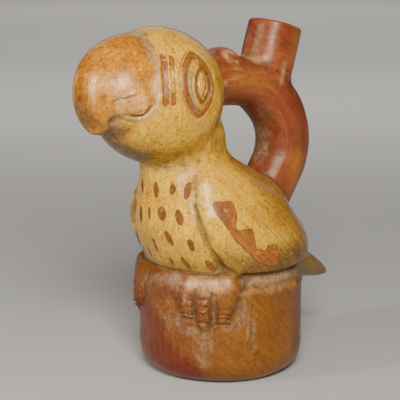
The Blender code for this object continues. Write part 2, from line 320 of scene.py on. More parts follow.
def round_drum(turn, out, height):
    """A point round the drum; turn is in degrees from the front towards the left wing."""
    angle = math.radians(turn)
    return Vector((out * math.sin(angle), -out * math.cos(angle), height))


def body_rings(inset=0.0, lift=0.0):
    """Rings up the bird's body, a wall further in or a wing's thickness further out."""
    rings = []
    for height, middle, across, along in smooth_run(BODY):
        share = min(max((WING_TOP - height) / WING_FADE, 0.0), 1.0)
        share = share * share * (3.0 - 2.0 * share)
        grow = lift * (1.6 * share - 0.6) - inset
        centre = Vector((0.0, middle, height - 0.6 * inset))
        rings.append(ring(centre, across + grow, along + grow))
    return rings


def stirrup_rings(inset=0.0):
    """Rings along the bent tube, each square to it."""
    run = smooth_run(STIRRUP, 6)
    rings = []
    for place, (y, z, radius) in enumerate(run):
        before, after = run[max(place - 1, 0)], run[min(place + 1, len(run) - 1)]
        aim = Vector((0.0, after.x - before.x, after.y - before.y)).normalized()
        rings.append(ring(Vector((0.0, y, z)), radius - inset, radius - inset, aim))
    return rings


def spout_rings(inset=0.0, past=2.0):
    """The two ends of the spout, the upper one a little past the mouth."""
    lean = (MOUTH - SPOUT_FOOT).normalized()
    radius = SPOUT_RADIUS - inset
    return [ring(place, radius, radius, lean) for place in (SPOUT_FOOT, MOUTH + lean * past)]


def shape_drum():
    """The drum with the two feet that grip it."""
    drum = bmesh.new()
    pull(drum, [ring(Vector((0.0, 0.0, height)), radius, radius)
                for radius, height in DRUM_SIDE])
    foot = bmesh.new()
    for toe in TOES:
        pull(foot, [Matrix.Translation(round_drum(turn, TOE_OUT, height))
                    @ Matrix.Rotation(math.radians(turn), 4, "Z")
                    @ Matrix.Diagonal((across, deep, 1.0, 1.0))
                    for turn, height, across, deep in smooth_run(toe, 4)])
    for turn, out, height, radii in FOOT:
        ball(foot, round_drum(turn, out, height), radii, turn)
    both_sides(drum, foot)
    return drum


def shape_body():
    """The body with its two wings and the tail."""
    body = bmesh.new()
    pull(body, body_rings())
    wing = bmesh.new()
    pull(wing, body_rings(0.0, WING_LIFT))
    (x0, z0), (x1, z1) = WING_GAP
    slice_off(wing, (x0, 0.0, z0), Vector((z1 - z0, 0.0, x0 - x1)))
    for start, end in zip(WING_EDGE, WING_EDGE[1:]):
        run = Vector((0.0, end[0] - start[0], end[1] - start[1]))
        slice_off(wing, (0.0, *start), Vector((0.0, run.z, -run.y)))
    both_sides(body, wing)
    start, end = TAIL[0], TAIL[-1]
    aim = Vector((0.0, end[0] - start[0], end[1] - start[1])).normalized()
    pull(body, [ring(Vector((0.0, y, z)), across, deep, aim) for y, z, across, deep in TAIL])
    return body


def shape_head():
    """The head with the upper beak, its hooked tip and the jaw."""
    head = bmesh.new()
    ball(head, *HEAD)
    ball(head, *JAW)
    ball(head, *HOOK_TIP)
    for point, outwards in (((0.0, 0.0, BEAK_EDGE), (0.0, 0.0, -1.0)),
                            ((0.0, HOOK_BACK, 0.0), (0.0, 1.0, 0.0))):
        beak = bmesh.new()
        ball(beak, *BEAK)
        slice_off(beak, point, outwards)
        put_on(head, beak)
    return head


def shape_stirrup():
    """The bent tube and the swelling where it leaves the head."""
    stirrup = bmesh.new()
    pull(stirrup, stirrup_rings())
    ball(stirrup, *COLLAR)
    return stirrup


def shape_spout():
    """The straight spout that leans back."""
    spout = bmesh.new()
    pull(spout, spout_rings())
    return spout


def shape_hollow():
    """The chamber and the bores, a wall's thickness in."""
    hollow = bmesh.new()
    pull(hollow, [ring(Vector((0.0, 0.0, max(height - WALL / 2.0, WALL))), radius - WALL,
                       radius - WALL) for radius, height in DRUM_SIDE[1:]])
    pull(hollow, body_rings(WALL))
    ball(hollow, HEAD[0], [radius - WALL for radius in HEAD[1]])
    ball(hollow, *BEAK_HOLLOW)
    pull(hollow, stirrup_rings(WALL))
    pull(hollow, spout_rings(WALL, 4.0))
    return hollow


def melt(name, lumps, grain, rounds):
    """Melts copies of lumps into one skin, as a mesh."""
    clay = bmesh.new()
    for lump in lumps:
        put_on(clay, lump.copy())
    thing = stand(name, as_mesh(name, clay))
    remesh = thing.modifiers.new("Melt", "REMESH")
    remesh.mode = "VOXEL"
    remesh.voxel_size = grain
    smooth = thing.modifiers.new("Smooth", "SMOOTH")
    smooth.factor = 0.5
    smooth.iterations = rounds
    return fired(thing)


def fired(thing):
    """The evaluated mesh of an object, which is removed."""
    bpy.context.view_layer.update()
    graph = bpy.context.evaluated_depsgraph_get()
    mesh = bpy.data.meshes.new_from_object(thing.evaluated_get(graph))
    bpy.data.objects.remove(thing)
    return mesh


# ---- distances in millimetres --------------------------------------------------------
def from_line(spots, line):
    """Distance of each spot (two numbers) from a broken line."""
    best = np.full(len(spots), 1e9)
    for start, end in zip(np.array(line), np.array(line)[1:]):
        run = end - start
        along = np.clip(((spots - start) @ run) / (run @ run), 0.0, 1.0)
        best = np.minimum(best, np.linalg.norm(spots - start - along[:, None] * run, axis=1))
    return best


def from_outline(spots, outline):
    """Distance of each spot from a closed outline, less than nought inside it."""
    closed = np.array([*outline, outline[0]])
    inside = np.zeros(len(spots), bool)
    for (x0, y0), (x1, y1) in zip(closed, closed[1:]):
        spans = (y0 > spots[:, 1]) != (y1 > spots[:, 1])
        level = (x1 - x0) * (spots[:, 1] - y0) / (y1 - y0 + 1e-12) + x0
        inside ^= spans & (spots[:, 0] < level)
    return from_line(spots, closed) * np.where(inside, -1.0, 1.0)


def from_oval(spots, centre, half_width, half_height, lean):
    """Distance of each spot from an oval; lean is in degrees, top towards the right."""
    turned = lean_back(spots, centre, lean)
    radii = np.array((half_width, half_height))
    near = np.linalg.norm(turned / radii, axis=1) + 1e-9
    steep = np.linalg.norm(turned / radii ** 2, axis=1) + 1e-9
    return near * (near - 1.0) / steep


def from_almond(spots, centre, half_width, half_height, lean):
    """Distance of each spot from an almond with its points at top and bottom."""
    turned = lean_back(spots, centre, lean)
    radius = (half_height ** 2 + half_width ** 2) / (2.0 * half_width)
    turned[:, 0] = np.abs(turned[:, 0]) + radius - half_width
    return np.linalg.norm(turned, axis=1) - radius


def lean_back(spots, centre, lean):
    """Places measured from a centre and turned upright from a lean in degrees."""
    angle = math.radians(lean)
    offset = spots - np.array(centre)
    return np.stack((offset[:, 0] * math.cos(angle) - offset[:, 1] * math.sin(angle),
                     offset[:, 0] * math.sin(angle) + offset[:, 1] * math.cos(angle)), axis=1)


def rise(distance, width):
    """Nought outside an edge and one inside it, with a soft step of this width."""
    t = np.clip(0.5 - distance / width, 0.0, 1.0)
    return t * t * (3.0 - 2.0 * t)


def stroke(distance, width):
    """One on a line and nought away from it."""
    return np.exp(-(distance / width) ** 2)


def between(values, start, end, soft):
    """One between two values and nought outside them, with a soft step at each."""
    return rise(np.abs(values - (start + end) / 2.0) - (end - start) / 2.0, soft)


def on_left(spots):
    """The spots, with those of the right side laid over onto the left."""
    return np.stack((np.abs(spots[:, 0]), spots[:, 1], spots[:, 2]), axis=1)


def from_front(spots):
    """Turn round the drum in degrees from the front, to either side."""
    return np.degrees(np.abs(np.arctan2(spots[:, 0], -spots[:, 1])))


def wavy(spots, size, seed):
    """Slow hand-made unevenness between -1 and 1, over swellings of this size."""
    shift = Vector((seed * 7.3, seed * 3.1, seed * 5.7))
    return np.array([noise.noise(Vector(spot) / size + shift) for spot in spots])


# ---- what the tools press and the brush paints ---------------------------------------
# On the head, as seen from the side: Y, height. The eye and the pupil are almonds: middle,
# half-width, half-height, lean
EYE = ((-44.7, 161.0), 10.2, 16.2, 2.0)
PUPIL = ((-43.0, 161.0), 5.3, 10.0, 12.0)
BARS = (((-59.4, 174.8), (-61.6, 168.0), (-62.8, 160.0), (-63.3, 152.8)),
        ((-56.0, 174.6), (-58.1, 168.0), (-59.2, 160.0), (-59.7, 152.6)))
BAR_WIDTHS = (2.9, 2.3)
BEAK_OUTLINE = (
    (-61.0, 192.0), (-61.4, 181.0), (-61.6, 177.0), (-62.0, 172.0), (-63.5, 164.5),
    (-64.8, 159.0), (-66.5, 153.5), (-69.6, 148.6), (-73.0, 146.2), (-78.2, 147.0),
    (-83.0, 147.4), (-86.0, 146.8), (-86.4, 143.0), (-85.4, 138.5), (-84.0, 130.0),
    (-110.0, 130.0), (-110.0, 192.0),
)
MOUTH_LINE = ((-73.0, 146.2), (-78.2, 147.0), (-83.0, 147.4), (-86.0, 146.6), (-86.4, 143.0),
              (-85.4, 138.5))
NOSE_PATCH = ((-85.8, 154.5), (-81.7, 156.0), (-77.0, 157.6), (-71.7, 156.2), (-69.7, 152.6),
              (-70.8, 148.7), (-73.3, 146.4), (-78.2, 147.4), (-83.0, 147.8))
NOSE_CRACK = ((-86.0, 154.4), (-83.2, 156.2), (-81.7, 156.0), (-79.1, 156.9), (-77.0, 157.8))
CRESCENT = ((-76.6, 146.6), (-74.4, 146.2), (-72.2, 146.9), (-70.6, 148.9), (-69.6, 151.4))
# Front edge of a wing, round the bird: turn in degrees, height
WING_FRONT = ((38.6, 119.0), (38.4, 109.0), (37.7, 99.0), (41.3, 85.4), (48.5, 74.5),
              (57.5, 64.5))
# Painted spots on the chest: turn, height, half-width, half-height, lean of the top
SPOTS = (
    (-12.4, 104.7, 1.8, 4.1, 0), (5.7, 104.4, 2.1, 4.4, -4), (20.6, 105.8, 1.8, 3.0, 10),
    (31.6, 105.2, 2.0, 4.6, 10), (-11.9, 89.8, 2.0, 4.4, -8), (-0.7, 91.7, 1.2, 3.5, -4),
    (12.0, 92.6, 2.8, 3.8, -10), (26.4, 91.6, 2.2, 4.2, -14), (0.0, 74.1, 1.4, 4.1, -10),
    (17.2, 79.8, 1.9, 4.4, -24), (34.7, 77.1, 1.7, 3.6, -18), (-14.2, 68.2, 1.2, 2.9, -12),
    (14.6, 65.8, 1.3, 3.1, -28), (28.3, 66.3, 1.6, 4.2, -44), (49.4, 65.4, 1.9, 4.4, -46),
    (-31.6, 105.2, 2.0, 4.4, -8), (-26.0, 91.6, 2.2, 4.2, 12), (-33.0, 77.1, 1.7, 3.7, 18),
    (-30.0, 66.3, 1.6, 4.2, 44), (-49.0, 65.6, 1.8, 4.2, 46),
)
# Stepped figure on each wing: turn, height
STEPS = (
    (50.0, 98.8), (51.6, 100.0), (65.0, 100.0), (67.2, 98.0), (68.0, 93.0), (66.6, 85.6),
    (78.6, 86.0), (79.6, 82.0), (80.4, 75.0), (87.4, 73.7), (89.0, 75.6), (96.0, 76.6),
    (98.4, 70.7), (99.0, 64.9), (90.0, 64.6), (80.6, 68.2), (74.6, 73.0), (65.0, 80.5),
    (61.0, 85.7), (55.0, 92.2), (51.0, 96.4),
)


def at(turn, height):
    """A place on the side of the drum."""
    return tuple(round_drum(turn, DRUM_OUT, height))


# Smears and stains, and some painted shade, shadow and highlights: places they run through,
# half-width, strength. On the bird and the stirrup they lie on both sides alike, on the drum
# they lie where they are.
BIRD_SMEARS = {
    "grey": (
        (((1.6, -58.1, 186.1), (10.7, -61.2, 182.7), (16.0, -62.5, 179.5), (20.8, -63.7, 174.9)),
         3.2, 0.80),
        (((22.5, -64.0, 172.0), (25.5, -65.0, 166.0)), 2.2, 0.5),
        (((27.2, -66.2, 161.5), (27.4, -66.9, 156.6), (26.6, -67.9, 151.4), (25.0, -68.6, 147.6)),
         2.0, 0.65),
        (((16.0, -86.3, 156.0), (19.5, -83.0, 153.6)), 3.4, 0.45),
        (((15.0, -83.0, 146.4), (12.0, -83.2, 142.0), (9.6, -83.0, 139.0), (2.0, -78.5, 136.3)),
         3.0, 0.90),
        (((13.0, -80.0, 142.0), (12.4, -78.4, 140.0)), 2.6, 0.60),
        (((16.0, -81.0, 145.6), (18.0, -78.5, 145.2), (21.5, -72.8, 144.8)), 1.7, 0.85),
        (((7.9, -74.1, 134.1), (2.9, -74.8, 133.2)), 3.2, 0.5),
        (((8.9, -71.5, 131.0), (16.0, -64.0, 128.2)), 3.0, 0.35),
        (((-3.0, -77.0, 140.0), (6.0, -77.0, 138.0)), 5.0, 0.5),
        (((30.8, -48.6, 168.0), (33.0, -50.2, 161.2), (33.7, -49.4, 154.8), (33.9, -47.6, 150.7)),
         1.8, 1.0),
        (((32.6, -43.4, 166.0), (34.2, -43.0, 157.0)), 2.0, 0.5),
        (((31.4, -34.9, 165.3), (33.7, -37.2, 155.0)), 1.3, 0.5),
        (((32.2, -45.0, 139.7), (33.0, -41.9, 142.4)), 5.0, 0.30),
        (((0.0, -49.0, 119.0), (9.6, -49.0, 117.0), (19.4, -41.5, 119.0)), 4.0, 0.75),
        (((22.6, -38.0, 112.0), (24.2, -38.8, 103.0), (26.8, -39.8, 93.4), (30.6, -37.0, 84.0)),
         2.2, 0.70),
        (((34.0, -34.0, 84.0), (38.0, -27.0, 74.0)), 2.0, 0.45),
    ),
    "dark": (
        (((7.7, -57.8, 185.3), (8.0, -57.0, 185.4)), 1.5, 0.9),
        (((22.8, -52.8, 178.7), (24.6, -53.4, 176.7)), 1.0, 0.6),
        (((24.5, -40.0, 98.0), (24.7, -40.0, 97.0)), 1.1, 1.0),
        (((26.0, -40.4, 96.0), (27.0, -39.6, 91.0)), 0.9, 0.6),
        # painted shadow in the groove before each wing
        (((22.6, -40.0, 112.0), (24.6, -40.4, 103.0), (27.2, -40.6, 93.4), (31.0, -37.6, 84.0),
          (37.0, -30.0, 74.0)), 2.6, 0.40),
        # painted shade on the front of the beak, under the chin and along the back edge of the
        # hook
        (((-6.0, -90.0, 168.0), (-3.0, -92.5, 156.0), (0.0, -91.0, 144.8)), 7.0, 0.42),
        (((0.0, -73.0, 132.0), (4.0, -71.0, 129.0), (8.0, -64.0, 124.5)), 9.0, 0.95),
        (((7.0, -82.6, 138.6), (11.0, -84.0, 142.0), (13.4, -83.6, 145.4)), 1.8, 0.55),
        (((20.4, -81.8, 155.8), (21.8, -79.9, 156.2), (23.0, -77.4, 157.2)), 0.7, 0.9),
        # painted shade under the jaw
        (((19.2, -58.5, 124.0), (26.3, -45.6, 124.0)), 6.0, 0.35),
        (((0.0, 62.0, 51.0), (0.0, 80.0, 44.0)), 10.0, 0.35),
        (((32.0, -26.0, 166.0), (30.0, -22.0, 148.0), (25.0, -24.0, 132.0)), 7.0, 0.50),
        (((20.0, -28.0, 122.0), (24.0, -20.0, 128.0), (26.0, -16.0, 140.0)), 6.0, 0.35),
        # painted shade on the lower side of the beak
        (((2.5, -92.5, 152.0), (5.0, -90.6, 146.0), (7.4, -87.6, 141.0)), 6.0, 0.50),
    ),
    "pale": (
        (((22.8, -71.6, 145.8), (25.8, -68.6, 149.0), (27.6, -66.6, 153.4), (28.0, -66.0, 157.0)),
         1.2, 0.95),
        # painted highlight down the left side of the beak
        (((7.0, -90.4, 166.4), (7.6, -91.4, 160.0), (8.4, -91.4, 154.1)), 2.6, 0.55),
        # painted reflection across the side of the beak
        (((12.0, -87.7, 163.6), (17.4, -83.6, 161.0), (24.0, -75.0, 158.6)), 6.0, 0.50),
        (((17.5, -82.0, 158.5), (21.0, -78.5, 158.0)), 1.6, 0.8),
        # painted highlights on the edge of the breast
        (((18.9, -41.7, 111.8), (21.3, -38.4, 115.4)), 2.4, 0.95),
        (((17.0, -44.0, 111.0), (17.6, -43.4, 106.6), (20.2, -42.2, 102.7)), 2.2, 0.85),
        (((22.6, -41.6, 98.0), (25.0, -41.4, 92.0), (27.6, -39.6, 88.0)), 1.9, 0.75),
        # painted highlight on the front of the wing
        (((30.0, -35.0, 96.0), (32.0, -35.5, 88.0)), 1.3, 0.5),
        (((26.0, -68.0, 163.0), (27.0, -66.0, 158.0)), 3.0, 0.5),
        (((22.8, -45.4, 179.8), (24.0, -43.5, 178.7), (25.8, -39.5, 176.1)), 0.6, 0.6),
    ),
    "warm": (
        (((9.0, -77.5, 141.7), (14.0, -75.2, 140.5), (9.4, -74.6, 136.4)), 4.6, 0.80),
        (((4.0, -68.4, 187.2), (9.7, -64.0, 183.9), (15.1, -66.5, 179.7)), 4.5, 0.9),
        (((-5.0, -88.6, 171.0), (-3.0, -92.5, 160.0), (0.0, -91.1, 144.8)), 6.5, 0.75),
        (((9.0, -86.5, 143.0), (12.0, -84.5, 146.0)), 4.0, 0.55),
        (((44.0, -14.0, 64.0), (47.0, 2.0, 64.0), (44.0, 20.0, 70.0), (34.0, 33.0, 78.0)),
         10.0, 0.95),
        (((19.0, -8.0, 116.0), (23.2, 0.0, 110.0), (25.0, 14.0, 98.0), (30.0, 24.0, 87.0)),
         11.0, 1.0),
        (((30.9, 0.0, 104.9), (34.7, 3.8, 99.6), (39.2, 8.0, 90.0)), 7.5, 0.85),
        (((40.0, -10.0, 92.0), (41.0, 6.0, 84.0), (36.0, 20.0, 86.0)), 9.0, 0.45),
        (((0.0, 60.0, 52.0), (0.0, 82.0, 42.0)), 11.0, 0.9),
    ),
}
STIRRUP_SMEARS = {
    "grey": (
        (((8.0, 24.0, 142.0), (3.0, 31.6, 134.0), (1.6, 31.6, 122.8), (2.0, 30.0, 112.0)),
         4.2, 0.80),
        (((10.0, 26.0, 156.0), (15.0, 32.0, 160.0)), 3.0, 0.40),
        (((4.0, 24.0, 184.0), (4.0, 18.0, 168.0)), 3.6, 0.55),
    ),
    "dark": (
        (((5.6, 31.6, 124.0), (5.8, 31.6, 121.0)), 1.5, 0.9),
        (((15.0, 46.0, 132.0), (15.0, 50.0, 112.0)), 5.0, 0.35),
        (((15.0, 47.0, 124.4), (15.2, 48.0, 121.0)), 2.6, 0.45),
        # painted shade under the tube
        (((12.0, 0.0, 147.5), (11.0, 20.0, 143.0), (8.0, 28.0, 136.0)), 4.0, 0.55),
        (((2.0, 12.0, 144.0), (2.0, 24.0, 141.0)), 5.0, 0.55),
        (((14.0, 28.0, 184.5), (14.4, 29.0, 183.6)), 1.2, 0.7),
        (((15.4, 14.0, 156.0), (16.0, 24.0, 152.0), (16.0, 30.0, 150.6)), 1.0, 0.6),
    ),
    "pale": (
        (((10.5, -4.6, 170.8), (6.7, -4.5, 174.7), (9.0, 3.0, 173.0)), 2.2, 0.60),
        (((10.0, -9.0, 168.0), (11.8, 2.0, 168.6)), 0.8, 0.75),
        (((12.4, -9.0, 164.6), (12.8, 4.0, 165.0)), 0.8, 0.70),
        (((14.6, -8.0, 160.0), (14.4, 6.0, 161.4)), 0.7, 0.55),
        (((3.6, 15.6, 169.9), (8.2, 19.5, 168.4)), 3.4, 0.60),
        (((15.1, -10.8, 158.9), (13.1, -7.6, 151.7)), 1.4, 0.7),
        (((15.0, 31.0, 156.0), (14.0, 33.0, 166.0)), 2.2, 0.45),
        (((14.0, 40.0, 186.0), (13.0, 36.0, 170.0), (13.0, 33.0, 160.0)), 1.6, 0.35),
    ),
    "warm": (
        (((14.0, 44.0, 180.0), (14.0, 40.0, 168.0)), 5.0, 0.7),
        (((15.0, 0.0, 160.0), (15.5, 16.0, 158.0)), 7.0, 0.9),
        (((15.0, 44.0, 112.0), (14.0, 42.0, 98.0)), 7.0, 0.9),
    ),
}
DRUM_SMEARS = {
    "grey": (
        ((at(18.4, 34.4), at(24.7, 30.6), at(36.5, 27.9)), 4.0, 0.85),
        ((at(38.8, 22.9), at(34.2, 17.0), at(37.0, 13.5)), 4.6, 0.75),
        ((at(60.6, 45.2), at(64.0, 38.0)), 5.0, 0.75),
        ((at(52.2, 32.7), at(58.9, 35.0)), 3.4, 0.55),
        ((at(70.7, 34.5), at(70.9, 27.2), at(71.2, 19.0)), 1.5, 0.75),
        ((at(-17.5, 51.9), at(0.6, 54.1), at(15.8, 57.6), at(19.5, 53.5)), 4.4, 0.70),
        ((at(5.4, 35.5), at(-1.4, 40.8)), 2.6, 0.45),
        ((at(11.4, 27.2), at(13.0, 33.0)), 2.2, 0.4),
        ((at(65.0, 57.2), at(85.0, 56.8), at(110.0, 56.4), at(140.0, 57.0)), 3.6, 1.0),
        ((at(31.0, 50.0), at(30.6, 45.6), at(31.0, 37.0)), 1.3, 0.85),
        ((at(43.2, 50.6), at(43.6, 42.0), at(43.4, 34.5)), 1.7, 0.85),
        ((at(20.0, 39.0), at(27.0, 36.6)), 1.8, 0.6),
        ((at(11.0, 48.0), at(9.0, 36.0)), 4.0, 0.45),
        ((at(-66.0, 57.6), at(-100.0, 57.8), at(-140.0, 58.4)), 2.4, 0.9),
        ((at(-31.0, 50.0), at(-31.0, 37.0)), 1.3, 0.85),
        ((at(-43.4, 50.6), at(-43.4, 34.5)), 1.7, 0.85),
        ((at(160.0, 20.0), at(172.0, 28.0)), 7.0, 0.4),
        ((at(-90.0, 12.0), at(-110.0, 18.0)), 7.0, 0.45),
    ),
    "dark": (
        ((at(68.0, 33.0), at(68.4, 24.0), at(69.4, 17.2)), 1.5, 0.55),
        ((at(50.0, 23.6), at(48.9, 21.8)), 1.6, 0.55),
        ((at(39.4, 18.4), at(39.8, 18.0)), 0.9, 0.8),
        ((at(81.2, 21.1), at(81.6, 20.6)), 0.8, 0.8),
        ((at(-10.0, 60.2), at(20.0, 60.4), at(45.0, 60.4)), 0.9, 0.45),
        # painted shadow under the rim of the wings
        ((at(60.0, 59.6), at(85.0, 59.8), at(120.0, 60.4)), 1.1, 0.75),
        ((at(31.0, 50.4), at(30.8, 38.0)), 0.8, 0.70),
        ((at(42.6, 50.6), at(42.4, 34.5)), 0.8, 0.70),
        ((at(45.0, 50.0), at(45.2, 35.0)), 0.7, 0.60),
        ((at(21.0, 46.0), at(21.4, 39.0)), 1.0, 0.50),
        # painted shadow under the tips of the first two toes
        ((at(26.0, 37.6), at(31.0, 36.0)), 1.0, 0.55),
        ((at(34.0, 32.4), at(40.0, 31.8)), 1.0, 0.55),
        ((at(0.0, 2.0), at(40.0, 2.0), at(80.0, 2.0)), 3.0, 0.45),
        ((at(-120.0, 20.0), at(-124.0, 30.0)), 4.0, 0.4),
        ((at(150.0, 40.0), at(153.0, 34.0)), 3.0, 0.4),
    ),
    "pale": (
        ((at(66.0, 33.0), at(66.4, 24.0)), 0.8, 0.5),
        ((at(62.0, 51.0), at(90.0, 51.5), at(112.0, 51.0)), 2.6, 0.40),
        ((at(46.0, 51.0), at(40.0, 54.0), at(50.0, 55.0)), 3.4, 0.45),
        ((at(25.0, 50.0), at(25.4, 40.0)), 2.6, 0.50),
        ((at(37.0, 52.0), at(37.0, 33.0)), 2.4, 0.55),
        ((at(51.6, 49.0), at(49.0, 36.0)), 2.6, 0.35),
        ((at(28.0, 56.0), at(52.0, 56.0)), 4.0, 0.85),
    ),
    "warm": (
        ((at(-30.0, 30.0), at(-18.5, 16.1), at(-2.0, 13.0), at(12.0, 9.6), at(26.0, 6.8)),
         9.0, 1.0),
        ((at(5.3, 20.8), at(16.9, 15.1)), 5.0, 0.6),
        ((at(-20.0, 40.0), at(0.0, 30.0)), 7.0, 0.75),
        ((at(7.1, 50.4), at(17.1, 47.9)), 2.6, 0.9),
        ((at(118.0, 46.0), at(122.0, 30.0), at(118.4, 12.0)), 8.0, 0.6),
        ((at(-150.0, 20.0), at(-170.0, 16.0)), 12.0, 0.5),
    ),
}
# Places where the brushwork has worn or chipped away
CHIPS = (
    (((27.7, -57.9, 169.6), (28.9, -58.5, 166.6)), 1.4, 1.0),
    (((30.0, -59.6, 164.0), (31.0, -59.8, 158.6)), 1.3, 1.0),
    (((26.0, -62.6, 163.0), (26.4, -63.0, 160.0)), 0.7, 0.6),
    (((45.6, -3.0, 77.0), (46.0, 2.0, 74.6)), 2.4, 0.8),
    (((46.0, -5.0, 70.4), (46.4, 3.0, 69.6)), 1.8, 0.45),
    (((31.8, -36.0, 100.0), (32.6, -35.4, 94.0)), 1.6, 0.4),
)


def smeared(spots, smears):
    """Strength of a set of smears at each spot, from nought to one."""
    clear = np.ones(len(spots))
    for line, width, strength in smears:
        clear *= 1.0 - strength * stroke(from_line(spots, line), width)
    return 1.0 - clear


def round_bird(spots):
    """Turn round the bird, as a length from the front towards the left wing, and height."""
    turn = np.arctan2(spots[:, 0], BIRD_MIDDLE - spots[:, 1])
    return np.stack((turn * ROUND_BIRD, spots[:, 2]), axis=1)


def laid_round(pairs):
    """Pairs of a turn in degrees and a height, as lengths that match round_bird."""
    return [(math.radians(turn) * ROUND_BIRD, height) for turn, height in pairs]


def head_relief(spots):
    """What is pressed and raised on the head, in millimetres."""
    side = spots[:, 1:]
    # the eye: a raised rim between two grooves, and the same again round the pupil
    eye = from_almond(side, *EYE)
    pupil = from_almond(side, *PUPIL)
    relief = 0.45 * stroke(eye + 1.3, 1.3) - 0.35 * stroke(eye - 0.8, 0.6)
    relief -= 0.45 * stroke(eye + 3.4, 0.7)
    relief += 0.50 * stroke(pupil + 0.8, 0.8) - 0.60 * stroke(pupil + 2.4, 0.6)
    relief -= 0.35 * stroke(pupil - 0.7, 0.6)
    relief += 0.55 * rise(pupil + 3.2, 1.6)
    # the sunk bars
    for bar, width in zip(BARS, BAR_WIDTHS):
        edge = from_line(side, bar) - width / 2.0
        relief += 0.10 * stroke(edge - 0.2, 0.5) - 0.20 * rise(edge, 1.1)
    # the step round the beak, the mouth, the nose patch and the corner of the mouth
    beak = from_outline(side, BEAK_OUTLINE)
    upper = rise(150.0 - side[:, 1], 4.0)
    relief += 0.12 * rise(beak, 3.0) * upper
    relief -= 0.10 * stroke(beak - 0.5, 1.2) * upper
    from_hook = rise(-79.0 - side[:, 0], 8.0)
    relief -= (0.15 + 0.45 * from_hook) * stroke(from_line(side, MOUTH_LINE), 0.8)
    relief += 0.30 * rise(from_outline(side, NOSE_PATCH), 3.0)
    crescent = from_line(side, CRESCENT)
    relief -= 0.80 * stroke(crescent, 0.65)
    relief += 0.40 * stroke(crescent - 1.6, 0.8) * rise(-beak, 1.0)
    return relief


def body_relief(spots):
    """The groove before each wing, in a shallow valley, and the full left breast."""
    place = round_bird(on_left(spots))
    front = from_line(place, laid_round(WING_FRONT))
    low = 0.35 + 0.65 * rise(place[:, 1] - 96.0, 18.0)
    lengths, heights = zip(*laid_round(WING_FRONT[::-1]))
    past = place[:, 0] - np.interp(place[:, 1], heights, lengths)
    swell = 0.8 * stroke(past + 9.0, 6.0) * rise(-spots[:, 0], 8.0) - 1.0 * stroke(front, 5.5)
    return -0.80 * stroke(front, 1.3) * low + swell * rise(place[:, 1] - 113.0, 10.0)


def drum_relief(spots):
    """The ledge of the drum, and the folds of skin and the cuts between the toes."""
    out = np.hypot(spots[:, 0], spots[:, 1])
    side = rise(38.0 - out, 2.0)
    height = spots[:, 2]
    turn = from_front(spots)
    beside = rise(62.0 - turn, 8.0) * rise(turn - 150.0, 30.0)
    relief = 0.55 * side * beside * stroke(height - 49.6, 1.7)
    relief -= 0.30 * side * beside * stroke(height - 52.6, 1.2)
    rough = wavy(spots, 3.4, 6)
    for middle, half, levels in WRINKLES:
        across = rise(np.abs(turn - middle) - half, 2.0)
        for level in levels:
            bent = height - level + 0.03 * (turn - middle) ** 2 + 0.9 * rough
            firm = side * across * (0.45 + 0.6 * rough)
            relief += firm * (stroke(bent, 0.55) - 1.1 * stroke(bent + 1.15, 0.50))
    place = np.stack((np.radians(turn) * TOE_OUT, height), axis=1)
    for cut in TOE_CUTS:
        line = [(math.radians(angle) * TOE_OUT, level) for angle, level in cut]
        relief -= 0.95 * side * stroke(from_line(place, line), 0.75)
    return relief


def seam_relief(spots):
    """The groove pressed between the bird and its drum."""
    seam = SEAM - 0.6 * (1.0 + spots[:, 1] / 44.0)
    leg = stroke(from_front(spots) - 53.0, 8.0)
    under_wing = rise(np.abs(spots[:, 0]) - 32.0, 8.0) * rise(spots[:, 1], 6.0)
    return -0.7 * (1.0 - 0.8 * leg) * under_wing * stroke(spots[:, 2] - seam, 0.9)


def soften(skin, weights, rounds):
    """Rubs the skin smooth where the weights say so."""
    spots = read(skin.vertices, "co", 3)
    ends = read(skin.edges, "vertices", 2).astype(int)
    rubbed = np.flatnonzero(weights > 0.0)
    near = ends[np.isin(ends, rubbed).any(axis=1)]
    for _ in range(rounds):
        spots += weights[:, None] * (neighbours(spots, near) - spots)
    skin.vertices.foreach_set("co", spots.ravel())
    skin.update()


def neighbours(spots, ends):
    """Middle of each point's neighbours."""
    count = np.bincount(ends.ravel(), minlength=len(spots)) + 1e-9
    return np.stack([(np.bincount(ends[:, 0], spots[ends[:, 1], axis], len(spots))
                      + np.bincount(ends[:, 1], spots[ends[:, 0], axis], len(spots))) / count
                     for axis in range(3)], axis=1)


def fill_join(skin, lump, other, reach, rounds):
    """Rubs the join between two lumps into a soft hollow."""
    spots = read(skin.vertices, "co", 3)
    weights = (rise(nearness(lump, spots, 2.0 * reach) - reach, reach)
               * rise(nearness(other, spots, 2.0 * reach) - reach, reach))
    soften(skin, 0.9 * weights, rounds)


